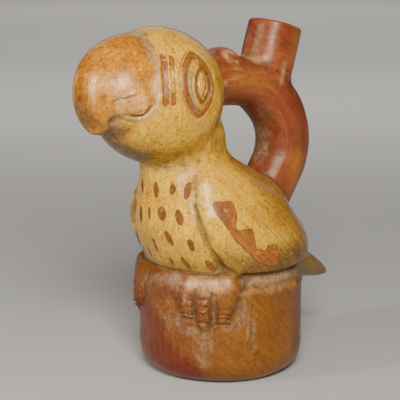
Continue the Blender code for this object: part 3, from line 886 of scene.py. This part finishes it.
def rub_body(skin):
    """Rubs out the joins of the body and lets the wings swell out of the shoulders."""
    # the whole body lightly and the shoulders well, clear of the head and the tube
    spots = read(skin.vertices, "co", 3)
    from_tube = (straightened(spots)[:, 1] ** 2 + spots[:, 0] ** 2) ** 0.5
    clear = rise(38.5 - np.linalg.norm(spots - HEAD[0], axis=1), 3.0)
    clear *= rise(16.8 - from_tube, 2.0)
    soften(skin, 0.6 * clear * between(spots[:, 2], 67.0, 129.0, 6.0), 26)
    soften(skin, 0.9 * clear * between(spots[:, 2], 99.0, 125.0, 12.0), 70)

    # the collar, the feet and the instep
    spots = read(skin.vertices, "co", 3)
    soften(skin, 0.7 * rise(np.linalg.norm(spots - COLLAR[0], axis=1) - 14.5, 5.0), 26)
    turn, height = from_front(spots), spots[:, 2]
    foot = between(turn, 18.0, 64.0, 6.0) * between(height, 33.0, 63.0, 4.0)
    soften(skin, 0.6 * foot, 8)
    instep = between(turn, 18.0, 34.0, 6.0) * between(height, 47.5, 60.5, 4.0)
    soften(skin, 0.85 * instep, 40)

    # the notch over the tail and the lower rim of the wings
    spots = read(skin.vertices, "co", 3)
    notch = (np.abs(spots[:, 0]) - 15.0, np.abs(spots[:, 1] - 39.0) - 11.0,
             np.abs(spots[:, 2] - 66.0) - 9.0)
    soften(skin, 0.9 * rise(np.maximum.reduce(notch), 5.0), 30)
    outside = np.hypot(spots[:, 0], spots[:, 1]) > 40.0
    wing_rim = np.where(outside, np.abs(spots[:, 2] - 61.6), 9.0)
    soften(skin, 0.6 * rise(wing_rim - 2.6, 2.0), 7)

    # the beak's join with the crown, the tip of the hook and the lip
    crown = (np.abs(from_line(spots[:, 1:], BEAK_OUTLINE[:7])) - 4.0, 158.0 - spots[:, 2])
    soften(skin, 0.9 * rise(np.maximum.reduce(crown), 4.0), 40)
    hook = np.hypot(spots[:, 1] + 79.5, spots[:, 2] - 141.5)
    soften(skin, 0.9 * rise(hook - 8.0, 4.0), 30)
    lip = from_line(spots[:, 1:], MOUTH_LINE[:4])
    soften(skin, 0.8 * rise(lip - 2.6, 2.0), 8)


def press_tools(skin):
    """Moves every point of the skin along its normal by what the tools press or raise."""
    spots = read(skin.vertices, "co", 3)
    normals = read(skin.vertex_normals, "vector", 3)
    lift = 0.32 * wavy(spots, 19.0, 1) + 0.10 * wavy(spots, 6.5, 2)
    height = spots[:, 2]
    for part, relief in ((height > NECK, head_relief),
                         ((height > 60.0) & (height <= NECK), body_relief),
                         (height < 60.0, drum_relief)):
        lift[part] += relief(spots[part])
    lift += seam_relief(spots)
    spots += normals * lift[:, None]
    spots[:, 2] = np.maximum(spots[:, 2], 0.0)
    skin.vertices.foreach_set("co", spots.ravel())
    skin.update()


def read(items, name, width=1):
    """One value, or a row of values, for each point or edge of a mesh."""
    values = np.empty(len(items) * width)
    items.foreach_get(name, values)
    return values.reshape(-1, width) if width > 1 else values


# ---- making the piece ----------------------------------------------------------------
def plain_parts(skin):
    """The points of the skin that carry no fine work."""
    spots = read(skin.vertices, "co", 3)
    height = spots[:, 2]
    round_body = np.degrees(np.abs(round_bird(spots)[:, 0]) / ROUND_BIRD)
    face = (height > 130.0) & (spots[:, 1] < -33.0) & (np.abs(spots[:, 0]) > 9.0)
    chest = (height > 60.0) & (height < 114.0) & (round_body < 102.0)
    turn = from_front(spots)
    feet = (height > 30.0) & (height < 60.0) & (turn > 14.0) & (turn < 62.0)
    foot_rim = (height < 2.5) & (np.hypot(spots[:, 0], spots[:, 1]) > 26.0)
    return ~(face | chest | feet | foot_rim)


def thin(skin, share, plain=None):
    """Joins faces until this share of them is left, first where the skin is plain."""
    thing = stand("skin", skin)
    decimate = thing.modifiers.new("Thin", "DECIMATE")
    decimate.ratio = share
    if plain is not None:
        group = thing.vertex_groups.new(name="plain")
        group.add([int(i) for i in np.flatnonzero(plain)], 1.0, "REPLACE")
        decimate.vertex_group = group.name
        decimate.vertex_group_factor = 1.0
    return fired(thing)


def open_mouth(outer, inner):
    """Joins the outer and the inner skin over the rounded lip of the spout."""
    lean = (MOUTH - SPOUT_FOOT).normalized()
    upright = lean.to_track_quat("Z", "X").to_matrix().to_4x4()
    from_mouth = Matrix.Translation(MOUTH) @ upright
    to_mouth = from_mouth.inverted()
    clay = bmesh.new()
    clay.from_mesh(inner)
    bmesh.ops.reverse_faces(clay, faces=clay.faces[:])
    cut_open(clay, MOUTH - lean * 3.0 * LIP, lean)
    for face in clay.faces:
        face.material_index = 1
    shell = bmesh.new()
    shell.from_mesh(outer)
    cut_open(shell, MOUTH - lean * LIP, lean)
    put_on(clay, shell)
    edges = [edge for edge in clay.edges if edge.is_boundary]
    rim = [edge for edge in edges if (to_mouth @ edge.verts[0].co).z > -2.0 * LIP]
    bore = [edge for edge in edges if edge not in set(rim)]
    radius = SPOUT_RADIUS
    for angle in (18, 36, 54, 72, 90, 110, 130, 150, 170):
        turn = math.radians(angle)
        if angle <= 90:
            wanted = SPOUT_RADIUS - LIP * (1.0 - math.cos(turn))
        else:
            wanted = SPOUT_RADIUS - WALL + LIP * (1.0 + math.cos(turn))
        height = LIP * (math.sin(turn) - 1.0)
        rim, verts = extrude(clay, rim)
        bmesh.ops.scale(clay, verts=verts, vec=(wanted / radius, wanted / radius, 1.0),
                        space=to_mouth)
        for vert in verts:
            place = to_mouth @ vert.co
            place.z = height
            vert.co = from_mouth @ place
        radius = wanted
    bmesh.ops.bridge_loops(clay, edges=rim + bore)
    bmesh.ops.triangulate(clay, faces=clay.faces[:])
    bmesh.ops.recalc_face_normals(clay, faces=clay.faces[:])
    return clay


def cut_open(clay, point, outwards):
    """Cuts a skin across and leaves it open there."""
    whole = clay.verts[:] + clay.edges[:] + clay.faces[:]
    bmesh.ops.bisect_plane(clay, geom=whole, dist=1e-4, plane_co=point, plane_no=outwards,
                           clear_outer=True)


def nearness(lump, spots, reach=1e3):
    """Distance of each spot from the surface of a lump, looked for no further than reach."""
    tree = BVHTree.FromBMesh(lump)
    found = [tree.find_nearest(Vector(spot), reach)[3] for spot in spots]
    return np.array([reach if gap is None else gap for gap in found])


def set_field(mesh, name, values):
    """Stores one number, or three, for each point of the mesh."""
    if values.ndim == 1:
        mesh.attributes.new(name, "FLOAT", "POINT").data.foreach_set("value", values)
    else:
        field = mesh.attributes.new(name, "FLOAT_VECTOR", "POINT")
        field.data.foreach_set("vector", values.ravel())


def painted_marks(spots):
    """Distance from the red-brown brushwork, less than nought inside it."""
    side = spots[:, 1:]
    on_head = spots[:, 2] > 130.0
    eye = np.abs(from_almond(side, *EYE) + 1.3) - 1.5
    pupil = np.abs(from_almond(side, *PUPIL) + 0.9) - 0.85
    head = np.minimum(eye, pupil)
    for bar, width in zip(BARS, BAR_WIDTHS):
        head = np.minimum(head, from_line(side, bar) - width / 2.0)
    place = round_bird(spots)
    body = from_outline(np.abs(place), laid_round(STEPS))
    for turn, height, across, tall, lean in SPOTS:
        centre = laid_round([(turn, height)])[0]
        body = np.minimum(body, from_oval(place, centre, across, tall, lean))
    on_body = (spots[:, 2] > 60.0) & ~on_head
    return np.where(on_head, head, np.where(on_body, body, FAR)).clip(-FAR, FAR)


def deepness(mesh, spots, rounds):
    """How far each spot lies below its surroundings."""
    ends = read(mesh.edges, "vertices", 2).astype(int)
    smooth = spots.copy()
    for _ in range(rounds):
        smooth += 0.5 * (neighbours(smooth, ends) - smooth)
    return np.einsum("ij,ij->i", smooth - spots, read(mesh.vertex_normals, "vector", 3))


def straightened(spots):
    """Places along the bent tube as if it were straight: across, out, along; and radius."""
    run = smooth_run(STIRRUP, 6)
    line = np.array([(point.x, point.y) for point in run])
    side = spots[:, 1:]
    best = np.full(len(spots), 1e9)
    found = np.zeros((len(spots), 3))
    length = 0.0
    for start, end in zip(line, line[1:]):
        step = end - start
        size = np.linalg.norm(step)
        along = np.clip(((side - start) @ step) / size ** 2, 0.0, 1.0)
        offset = side - start - along[:, None] * step
        gap = np.linalg.norm(offset, axis=1)
        out = offset @ np.array((-step[1], step[0])) / size
        closer = gap < best
        best[closer] = gap[closer]
        here = np.stack((spots[:, 0], out, length + along * size), axis=1)
        found[closer] = here[closer]
        length += size
    return found


def paint_fields(mesh, lumps):
    """Stores, point by point, how far it lies from each edge of the slip colours."""
    spots = read(mesh.vertices, "co", 3)
    side, height = spots[:, 1:], spots[:, 2]
    near = {name: nearness(lump, spots) for name, lump in lumps.items()}
    bird = np.minimum(near["head"], near["body"])
    stirrup = np.minimum(near["stirrup"], near["spout"])
    on_face = height > FACE_FOOT
    lip = stroke(from_line(side, MOUTH_LINE[:4]), 2.2) * on_face
    mouth = np.minimum(from_line(side, CRESCENT), from_line(side, NOSE_CRACK))
    set_field(mesh, "stirrup_edge", stirrup - np.minimum(bird, near["drum"]))
    set_field(mesh, "drum_edge", near["drum"] - bird)
    set_field(mesh, "beak_edge", np.where(on_face, from_outline(side, BEAK_OUTLINE), FAR))
    set_field(mesh, "nose_patch", np.where(on_face, from_outline(side, NOSE_PATCH), FAR))
    set_field(mesh, "mouth", np.where(on_face, mouth, FAR))
    set_field(mesh, "marks", painted_marks(spots))
    set_field(mesh, "deep", deepness(mesh, spots, 24) - 0.16 * lip)
    set_field(mesh, "run", straightened(spots))

    # painted shade under the chin and the beak and wherever the skin faces down, less of it
    # along the mouth, and more towards the foot of the bird
    down = np.clip(-2.0 * read(mesh.vertex_normals, "vector", 3)[:, 2] - 0.9, 0.0, 1.0)
    down *= 1.0 - 0.85 * lip
    on_wings = rise(30.0 - np.abs(spots[:, 0]), 8.0)
    rim = rise(height - 69.0 - 5.0 * on_wings, 15.0) * (0.75 + 0.10 * on_wings)
    set_field(mesh, "shade", 1.0 - (1.0 - down) * (1.0 - rim))

    mirrored = on_left(spots)
    on_drum = rise(near["drum"] - bird, 1.0) * rise(height - 61.5, 2.0)
    on_stirrup = rise(stirrup - bird, 1.0)
    for kind in BIRD_SMEARS:
        smear = smeared(mirrored, BIRD_SMEARS[kind]) * (1.0 - on_stirrup)
        smear += smeared(mirrored, STIRRUP_SMEARS[kind]) * on_stirrup
        smear = smear * (1.0 - on_drum) + smeared(spots, DRUM_SMEARS[kind]) * on_drum
        set_field(mesh, kind, smear)
    set_field(mesh, "chips", smeared(mirrored, CHIPS))


def make_vessel():
    """Shapes, joins and works the clay, and paints it."""
    lumps = {"drum": shape_drum(), "body": shape_body(), "head": shape_head(),
             "stirrup": shape_stirrup(), "spout": shape_spout()}
    outer = melt("outer_skin", lumps.values(), GRAIN, 7)
    rub_body(outer)
    fill_join(outer, lumps["head"], lumps["body"], 6.0, 60)
    fill_join(outer, lumps["stirrup"], lumps["spout"], 5.0, 50)
    press_tools(outer)
    outer = thin(outer, 0.40, plain_parts(outer))
    inner = thin(melt("inner_skin", [shape_hollow()], INSIDE_GRAIN, 3), 0.3)
    clay = open_mouth(outer, inner)
    mesh = as_mesh("vessel", clay)
    paint_fields(mesh, lumps)
    mesh.transform(Matrix.Scale(MILLIMETRE, 4))
    mesh.shade_smooth()
    vessel = stand("clay_vessel", mesh)
    mesh.materials.append(painted_clay())
    mesh.materials.append(raw_clay())
    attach(vessel, "root")
    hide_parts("vessel")
    return vessel


# ---- paint ---------------------------------------------------------------------------
class Brush:
    """Adds shader nodes to a material and joins them up."""

    def __init__(self, name):
        self.material = bpy.data.materials.new(name)
        self.material.use_nodes = True
        self.tree = self.material.node_tree
        self.shader = self.tree.nodes["Principled BSDF"]
        self.place = self.add("ShaderNodeTexCoord").outputs["Object"]

    def add(self, kind, inputs=(), **settings):
        """Adds a shader node with these inputs and settings."""
        made = self.tree.nodes.new(kind)
        for name, value in settings.items():
            setattr(made, name, value)
        for key, value in dict(inputs).items():
            self.feed(made.inputs[key], value)
        return made

    def feed(self, socket, value):
        if isinstance(value, bpy.types.NodeSocket):
            self.tree.links.new(value, socket)
        else:
            socket.default_value = value

    def field(self, name, kind="Fac"):
        """A number, or a place, stored on the skin."""
        return self.add("ShaderNodeAttribute", attribute_name=name).outputs[kind]

    def sum(self, kind, a, b=0.0):
        return self.add("ShaderNodeMath", {0: a, 1: b}, operation=kind).outputs[0]

    def plus(self, *values):
        total = values[0]
        for value in values[1:]:
            total = self.sum("ADD", total, value)
        return total

    def times(self, *values):
        product = values[0]
        for value in values[1:]:
            product = self.sum("MULTIPLY", product, value)
        return product

    def scaled(self, vector, factors, turned=(0.0, 0.0, 0.0)):
        """Stretches and turns the place at which a pattern is read."""
        return self.add("ShaderNodeMapping", {"Vector": vector, "Scale": factors,
                                              "Rotation": turned}).outputs[0]

    def part(self, vector, axis):
        return self.add("ShaderNodeSeparateXYZ", {0: vector}).outputs[axis]

    def dots(self, vector, scale, size, few):
        """Small scattered dots; the higher few is, the fewer there are."""
        cell = self.add("ShaderNodeTexVoronoi", {"Vector": vector, "Scale": scale})
        chosen = self.step(self.part(cell.outputs["Color"], 0), few, few + 0.02)
        return self.times(chosen, self.step(cell.outputs["Distance"], size * 1.5, size * 0.7))

    def blend(self, share, a, b):
        """Goes from one number to another by a share."""
        return self.add("ShaderNodeMix", {0: share, 2: a, 3: b}, data_type="FLOAT").outputs[0]

    def cloud(self, vector, scale, detail=3.0, roughness=0.55):
        """Uneven clouds between nought and one."""
        return self.add("ShaderNodeTexNoise", {"Vector": vector, "Scale": scale,
                                               "Detail": detail,
                                               "Roughness": roughness}).outputs["Fac"]

    def step(self, value, start, end):
        """Nought at start and one at end, with a soft step between."""
        return self.add("ShaderNodeMapRange", {"Value": value, "From Min": start,
                                               "From Max": end},
                        interpolation_type="SMOOTHSTEP").outputs["Result"]

    def mix(self, share, a, b, kind="MIX"):
        """Goes from one colour to another by a share."""
        made = self.add("ShaderNodeMix", data_type="RGBA", blend_type=kind)
        for socket, value in zip((made.inputs[0], made.inputs[6], made.inputs[7]),
                                 (share, a, b)):
            self.feed(socket, value)
        return made.outputs[2]

    def streak(self, colour, other, value, start, end, share):
        """Lays another colour on as value goes from start to end, at most by this share."""
        return self.mix(self.times(self.step(value, start, end), share), colour, other)

    def press(self, ridges, strength, depth):
        """Gives the finish small ridges of this depth in metres."""
        bump = self.add("ShaderNodeBump", {"Height": ridges, "Strength": strength,
                                           "Distance": depth})
        self.feed(self.shader.inputs["Normal"], bump.outputs[0])


# Colours of slips, clay and dirt, and of painted shade and painted highlights, as shares of
# red, green and blue light given back
CREAM = (0.69, 0.365, 0.022, 1.0)
GOLD = (0.55, 0.262, 0.012, 1.0)
GREENISH = (0.36, 0.220, 0.022, 1.0)
PALE_CREAM = (0.80, 0.48, 0.045, 1.0)
UMBER = (0.28, 0.115, 0.014, 1.0)
ORANGE = (0.52, 0.210, 0.016, 1.0)
DEEP_ORANGE = (0.34, 0.112, 0.008, 1.0)
# worn slip and chips, and the colour of painted highlights and glints
PINKISH = (0.74, 0.45, 0.20, 1.0)
BROWN = (0.25, 0.080, 0.016, 1.0)
DEEP_BROWN = (0.15, 0.042, 0.012, 1.0)
RED = (0.215, 0.047, 0.017, 1.0)
DEEP_RED = (0.15, 0.031, 0.013, 1.0)
ORANGE_RED = (0.35, 0.108, 0.020, 1.0)
RUST = (0.36, 0.130, 0.024, 1.0)
CLAY = (0.142, 0.041, 0.009, 1.0)
GOLD_CLAY = (0.200, 0.073, 0.009, 1.0)
RED_CLAY = (0.120, 0.018, 0.008, 1.0)
DUST = (0.16, 0.092, 0.048, 1.0)
PALE_DUST = (0.30, 0.190, 0.105, 1.0)
ASH = (0.33, 0.235, 0.150, 1.0)
# soot in cut lines and hollows, and the colour of painted shade
SOOT_AND_SHADE = (0.075, 0.042, 0.018, 1.0)
RAW_CLAY = (0.195, 0.07, 0.028, 1.0)
DARK_RAW_CLAY = (0.09, 0.036, 0.018, 1.0)


class SkinBrush(Brush):
    """A brush that also knows the fields on the skin and the clouds that the slips share."""

    def __init__(self, name):
        super().__init__(name)
        place = self.place
        self.height, self.backwards = self.part(place, 2), self.part(place, 1)
        self.sideways = self.sum("ABSOLUTE", self.part(place, 0))
        self.grey, self.dark = self.field("grey"), self.field("dark")
        self.pale, self.warm = self.field("pale"), self.field("warm")

        self.fine = self.cloud(place, 950.0, 3.0, 0.6)
        self.grain = self.cloud(place, 400.0, 4.0, 0.65)
        self.blotches = self.cloud(place, 130.0, 4.0, 0.65)
        self.patches = self.cloud(place, 42.0, 3.0, 0.6)
        self.ragged = self.sum("SUBTRACT", self.cloud(place, 260.0, 5.0, 0.7), 0.5)
        wobble = self.times(self.sum("SUBTRACT", self.cloud(place, 420.0, 3.0), 0.5), 1.7)

        # which slip lies where
        self.on_stirrup = self.step(self.plus(self.field("stirrup_edge"), wobble), 0.6, -0.4)
        self.on_drum = self.step(self.plus(self.field("drum_edge"), wobble), 0.5, -0.5)
        self.on_beak = self.torn(self.field("beak_edge"), 8.0, 3.4, -3.0)
        self.brushed = self.plus(self.field("marks"), self.times(wobble, 0.75))
        chip = self.torn(self.field("chips"), 3.2, 0.40, 0.60)
        self.on_mark = self.times(self.step(self.brushed, 0.16, -0.16),
                                  self.sum("SUBTRACT", 1.0, self.times(chip, 0.9)))

        # strokes of the brush and the burnisher, upright, sloping on the wings, and along
        # the bent tube
        self.upright = self.cloud(self.scaled(place, (560.0, 560.0, 40.0)), 1.0, 4.0, 0.62)
        leaning = self.scaled(place, (1.0, 1.0, 1.0), (0.84, 0.0, 0.0))
        sloping = self.cloud(self.scaled(leaning, (90.0, 36.0, 520.0)), 1.0, 4.0, 0.62)
        straight = self.scaled(self.field("run", "Vector"), (0.60, 0.60, 0.032))
        self.along = self.cloud(straight, 1.0, 4.0, 0.62)
        on_wing = self.times(self.step(self.sideways, 0.018, 0.032),
                             self.step(self.backwards, -0.034, -0.022),
                             self.step(self.height, 0.130, 0.118))
        strokes = self.blend(on_wing, self.upright, sloping)
        self.strokes = self.blend(self.on_stirrup, strokes, self.along)

    def torn(self, value, amount, start, end):
        """A step along a field, its edge torn by this much."""
        return self.step(self.plus(value, self.times(self.ragged, amount)), start, end)


def cream_slip(b):
    """Cream slip of the bird, gold in patches, grey-green low down and umber where worn."""
    colour = b.mix(b.step(b.patches, 0.40, 0.64), CREAM, GOLD)
    colour = b.streak(colour, GOLD, b.strokes, 0.50, 0.70, 0.50)
    colour = b.streak(colour, PALE_CREAM, b.blotches, 0.50, 0.36, 0.45)
    colour = b.streak(colour, GREENISH, b.grain, 0.50, 0.64, 0.75)
    colour = b.streak(colour, GREENISH, b.height, 0.100, 0.066, 0.35)
    stain = b.mix(b.step(b.height, 0.128, 0.120), DEEP_ORANGE, UMBER)
    return b.mix(b.times(b.torn(b.warm, 0.8, 0.0, 1.0), 0.85), colour, stain)


def beak_slip(b):
    """Orange slip of the beak, paler on the nose patch."""
    colour = b.mix(b.step(b.blend(0.5, b.upright, b.blotches), 0.42, 0.60), ORANGE, DEEP_ORANGE)
    colour = b.mix(b.times(b.warm, 0.75), colour, DEEP_ORANGE)
    patch = b.torn(b.field("nose_patch"), 2.0, 0.8, -0.8)
    return b.mix(b.times(patch, 0.28), colour, PINKISH)


def drum_clay(b):
    """Bare clay of the drum, golden on the left side and red where the fire reached it."""
    golden = b.times(b.step(b.sideways, 0.026, 0.042), b.step(b.part(b.place, 0), 0.0, 0.02))
    colour = b.mix(b.blend(0.35, golden, b.step(b.patches, 0.42, 0.60)), CLAY, GOLD_CLAY)
    colour = b.streak(colour, GOLD_CLAY, b.upright, 0.50, 0.66, 0.65)
    colour = b.streak(colour, BROWN, b.upright, 0.48, 0.34, 0.55)
    colour = b.streak(colour, DEEP_BROWN, b.blotches, 0.54, 0.68, 0.40)
    return b.mix(b.times(b.torn(b.warm, 0.9, 0.10, 0.85), 0.9), colour, RED_CLAY)


def stirrup_slip(b):
    """Red slip of the tube and the spout, streaked along them."""
    colour = b.mix(b.step(b.patches, 0.40, 0.62), RED, DEEP_RED)
    colour = b.streak(colour, ORANGE_RED, b.along, 0.48, 0.74, 0.40)
    colour = b.streak(colour, DEEP_RED, b.along, 0.50, 0.28, 0.40)
    colour = b.mix(b.times(b.warm, 0.80), colour, RUST)
    return b.streak(colour, BROWN, b.blotches, 0.56, 0.72, 0.40)


def brushwork(b):
    """Red-brown marks, darker on the chest and where the brush turned at their edges."""
    on_chest = b.times(b.step(b.backwards, -0.024, -0.032), b.step(b.height, 0.126, 0.120))
    colour = b.mix(b.step(b.blotches, 0.30, 0.50), ORANGE_RED, BROWN)
    colour = b.mix(b.times(on_chest, 0.90), colour, DEEP_BROWN)
    return b.streak(colour, DEEP_BROWN, b.brushed, -1.1, -0.2, 0.80)


def dusted(b, colour):
    """A colour with dust on it, palest on the ledge and the face, and the share of dust."""
    dust = b.mix(b.step(b.grain, 0.40, 0.62), DUST, PALE_DUST)
    ledge = b.times(b.on_drum, b.step(b.height, 0.0535, 0.0565))
    on_face = b.times(b.step(b.height, 0.138, 0.144), b.sum("SUBTRACT", 1.0, b.on_stirrup))
    dust = b.mix(b.times(b.sum("MAXIMUM", ledge, on_face), 0.7), dust, ASH)
    share = b.times(b.torn(b.grey, 1.1, 0.08, 0.95),
                    b.blend(b.on_drum, 0.75, b.blend(ledge, 0.55, 0.75)))
    return b.mix(share, colour, dust), share


def sooted(b, colour):
    """A colour with soot in its cut lines, soot and painted shade in its hollows, dark stains and
    painted shade where smeared, and the share of hollows.
    """
    colour = b.mix(b.times(b.torn(b.field("mouth"), 1.2, 0.60, 0.15), 0.7), colour, SOOT_AND_SHADE)
    # soot and painted shade in the hollows
    hollow = b.torn(b.field("deep"), 0.12, 0.04, 0.26)
    colour = b.mix(b.times(hollow, 0.60), colour, SOOT_AND_SHADE)
    # dark stains, and the painted shade and shadow laid down in the dark smears
    colour = b.mix(b.times(b.torn(b.dark, 0.9, 0.05, 1.0), 0.85), colour, SOOT_AND_SHADE)
    return colour, hollow


def specked(b, colour):
    """A colour with dark specks, and small pale dots for chips and painted glints."""
    colour = b.mix(b.times(b.dots(b.place, 210.0, 0.10, 0.56), 0.80), colour, SOOT_AND_SHADE)
    colour = b.mix(b.times(b.dots(b.place, 360.0, 0.16, 0.58), 0.60), colour, DEEP_BROWN)
    chips_and_glints = b.times(b.dots(b.place, 280.0, 0.10, 0.70), b.blend(b.on_drum, 0.65, 0.10))
    return b.mix(b.times(chips_and_glints, b.blend(b.on_stirrup, 1.0, 0.35)), colour, PINKISH)


def painted_clay():
    """The outside: slips, wear, brushwork, dust and soot, painted shade and painted highlights,
    burnished with a small tool.
    """
    b = SkinBrush("painted_clay")
    colour = b.mix(b.on_beak, cream_slip(b), beak_slip(b))
    # painted shade under the chin, the beak and the wings, and towards the foot of the bird
    shade = b.torn(b.field("shade"), 0.5, 0.0, 1.0)
    colour = b.mix(b.times(shade, 0.70), colour, SOOT_AND_SHADE)
    colour = b.mix(b.on_drum, colour, drum_clay(b))
    colour = b.mix(b.on_stirrup, colour, stirrup_slip(b))
    # worn slip, with painted highlights on the beak, the breast and the front of the wings
    colour = b.mix(b.times(b.torn(b.pale, 0.9, 0.05, 1.0), 0.75), colour, PINKISH)
    colour = b.mix(b.times(b.on_mark, 0.95), colour, brushwork(b))
    colour, dust = dusted(b, colour)
    colour, hollow = sooted(b, colour)
    colour = specked(b, colour)

    # light and dark grain over everything
    strokes = b.blend(b.step(b.grey, 0.05, 0.45), b.strokes, 0.5)
    grain = b.sum("SUBTRACT", b.plus(b.fine, b.grain, strokes), 1.5)
    amount = b.blend(b.on_stirrup, b.blend(b.on_drum, 1.50, 1.10), 0.60)
    colour = b.mix(1.0, colour, b.plus(b.times(grain, amount), 1.0), "MULTIPLY")
    b.feed(b.shader.inputs["Base Color"], colour)

    rough = b.blend(b.step(b.blotches, 0.35, 0.65), 0.14, 0.24)
    rough = b.plus(rough, b.times(b.plus(b.on_drum, b.on_stirrup), 0.10),
                   b.times(b.on_mark, 0.16), b.times(dust, 0.30), b.times(hollow, 0.25),
                   b.times(b.fine, 0.08))
    b.feed(b.shader.inputs["Roughness"], rough)
    b.shader.inputs["Specular IOR Level"].default_value = 0.34
    b.shader.inputs["Specular Tint"].default_value = (1.0, 0.90, 0.70, 1.0)
    b.press(b.plus(b.times(strokes, 0.6), b.times(b.grain, 0.5), b.times(b.fine, 0.2),
                   b.times(dust, b.cloud(b.place, 1100.0, 2.0), 0.3)), 0.5, 0.0003)
    return b.material


def raw_clay():
    """The unpainted clay inside, darkened and never burnished."""
    b = Brush("raw_clay_inside")
    grit = b.cloud(b.place, 260.0, 5.0, 0.7)
    colour = b.mix(b.step(grit, 0.35, 0.7), RAW_CLAY, DARK_RAW_CLAY)
    b.feed(b.shader.inputs["Base Color"], colour)
    b.shader.inputs["Roughness"].default_value = 0.88
    b.press(grit, 0.6, 0.0006)
    return b.material


# ---- the scene -----------------------------------------------------------------------
stand_camera()
light_studio()
lay_floor()
make_vessel()
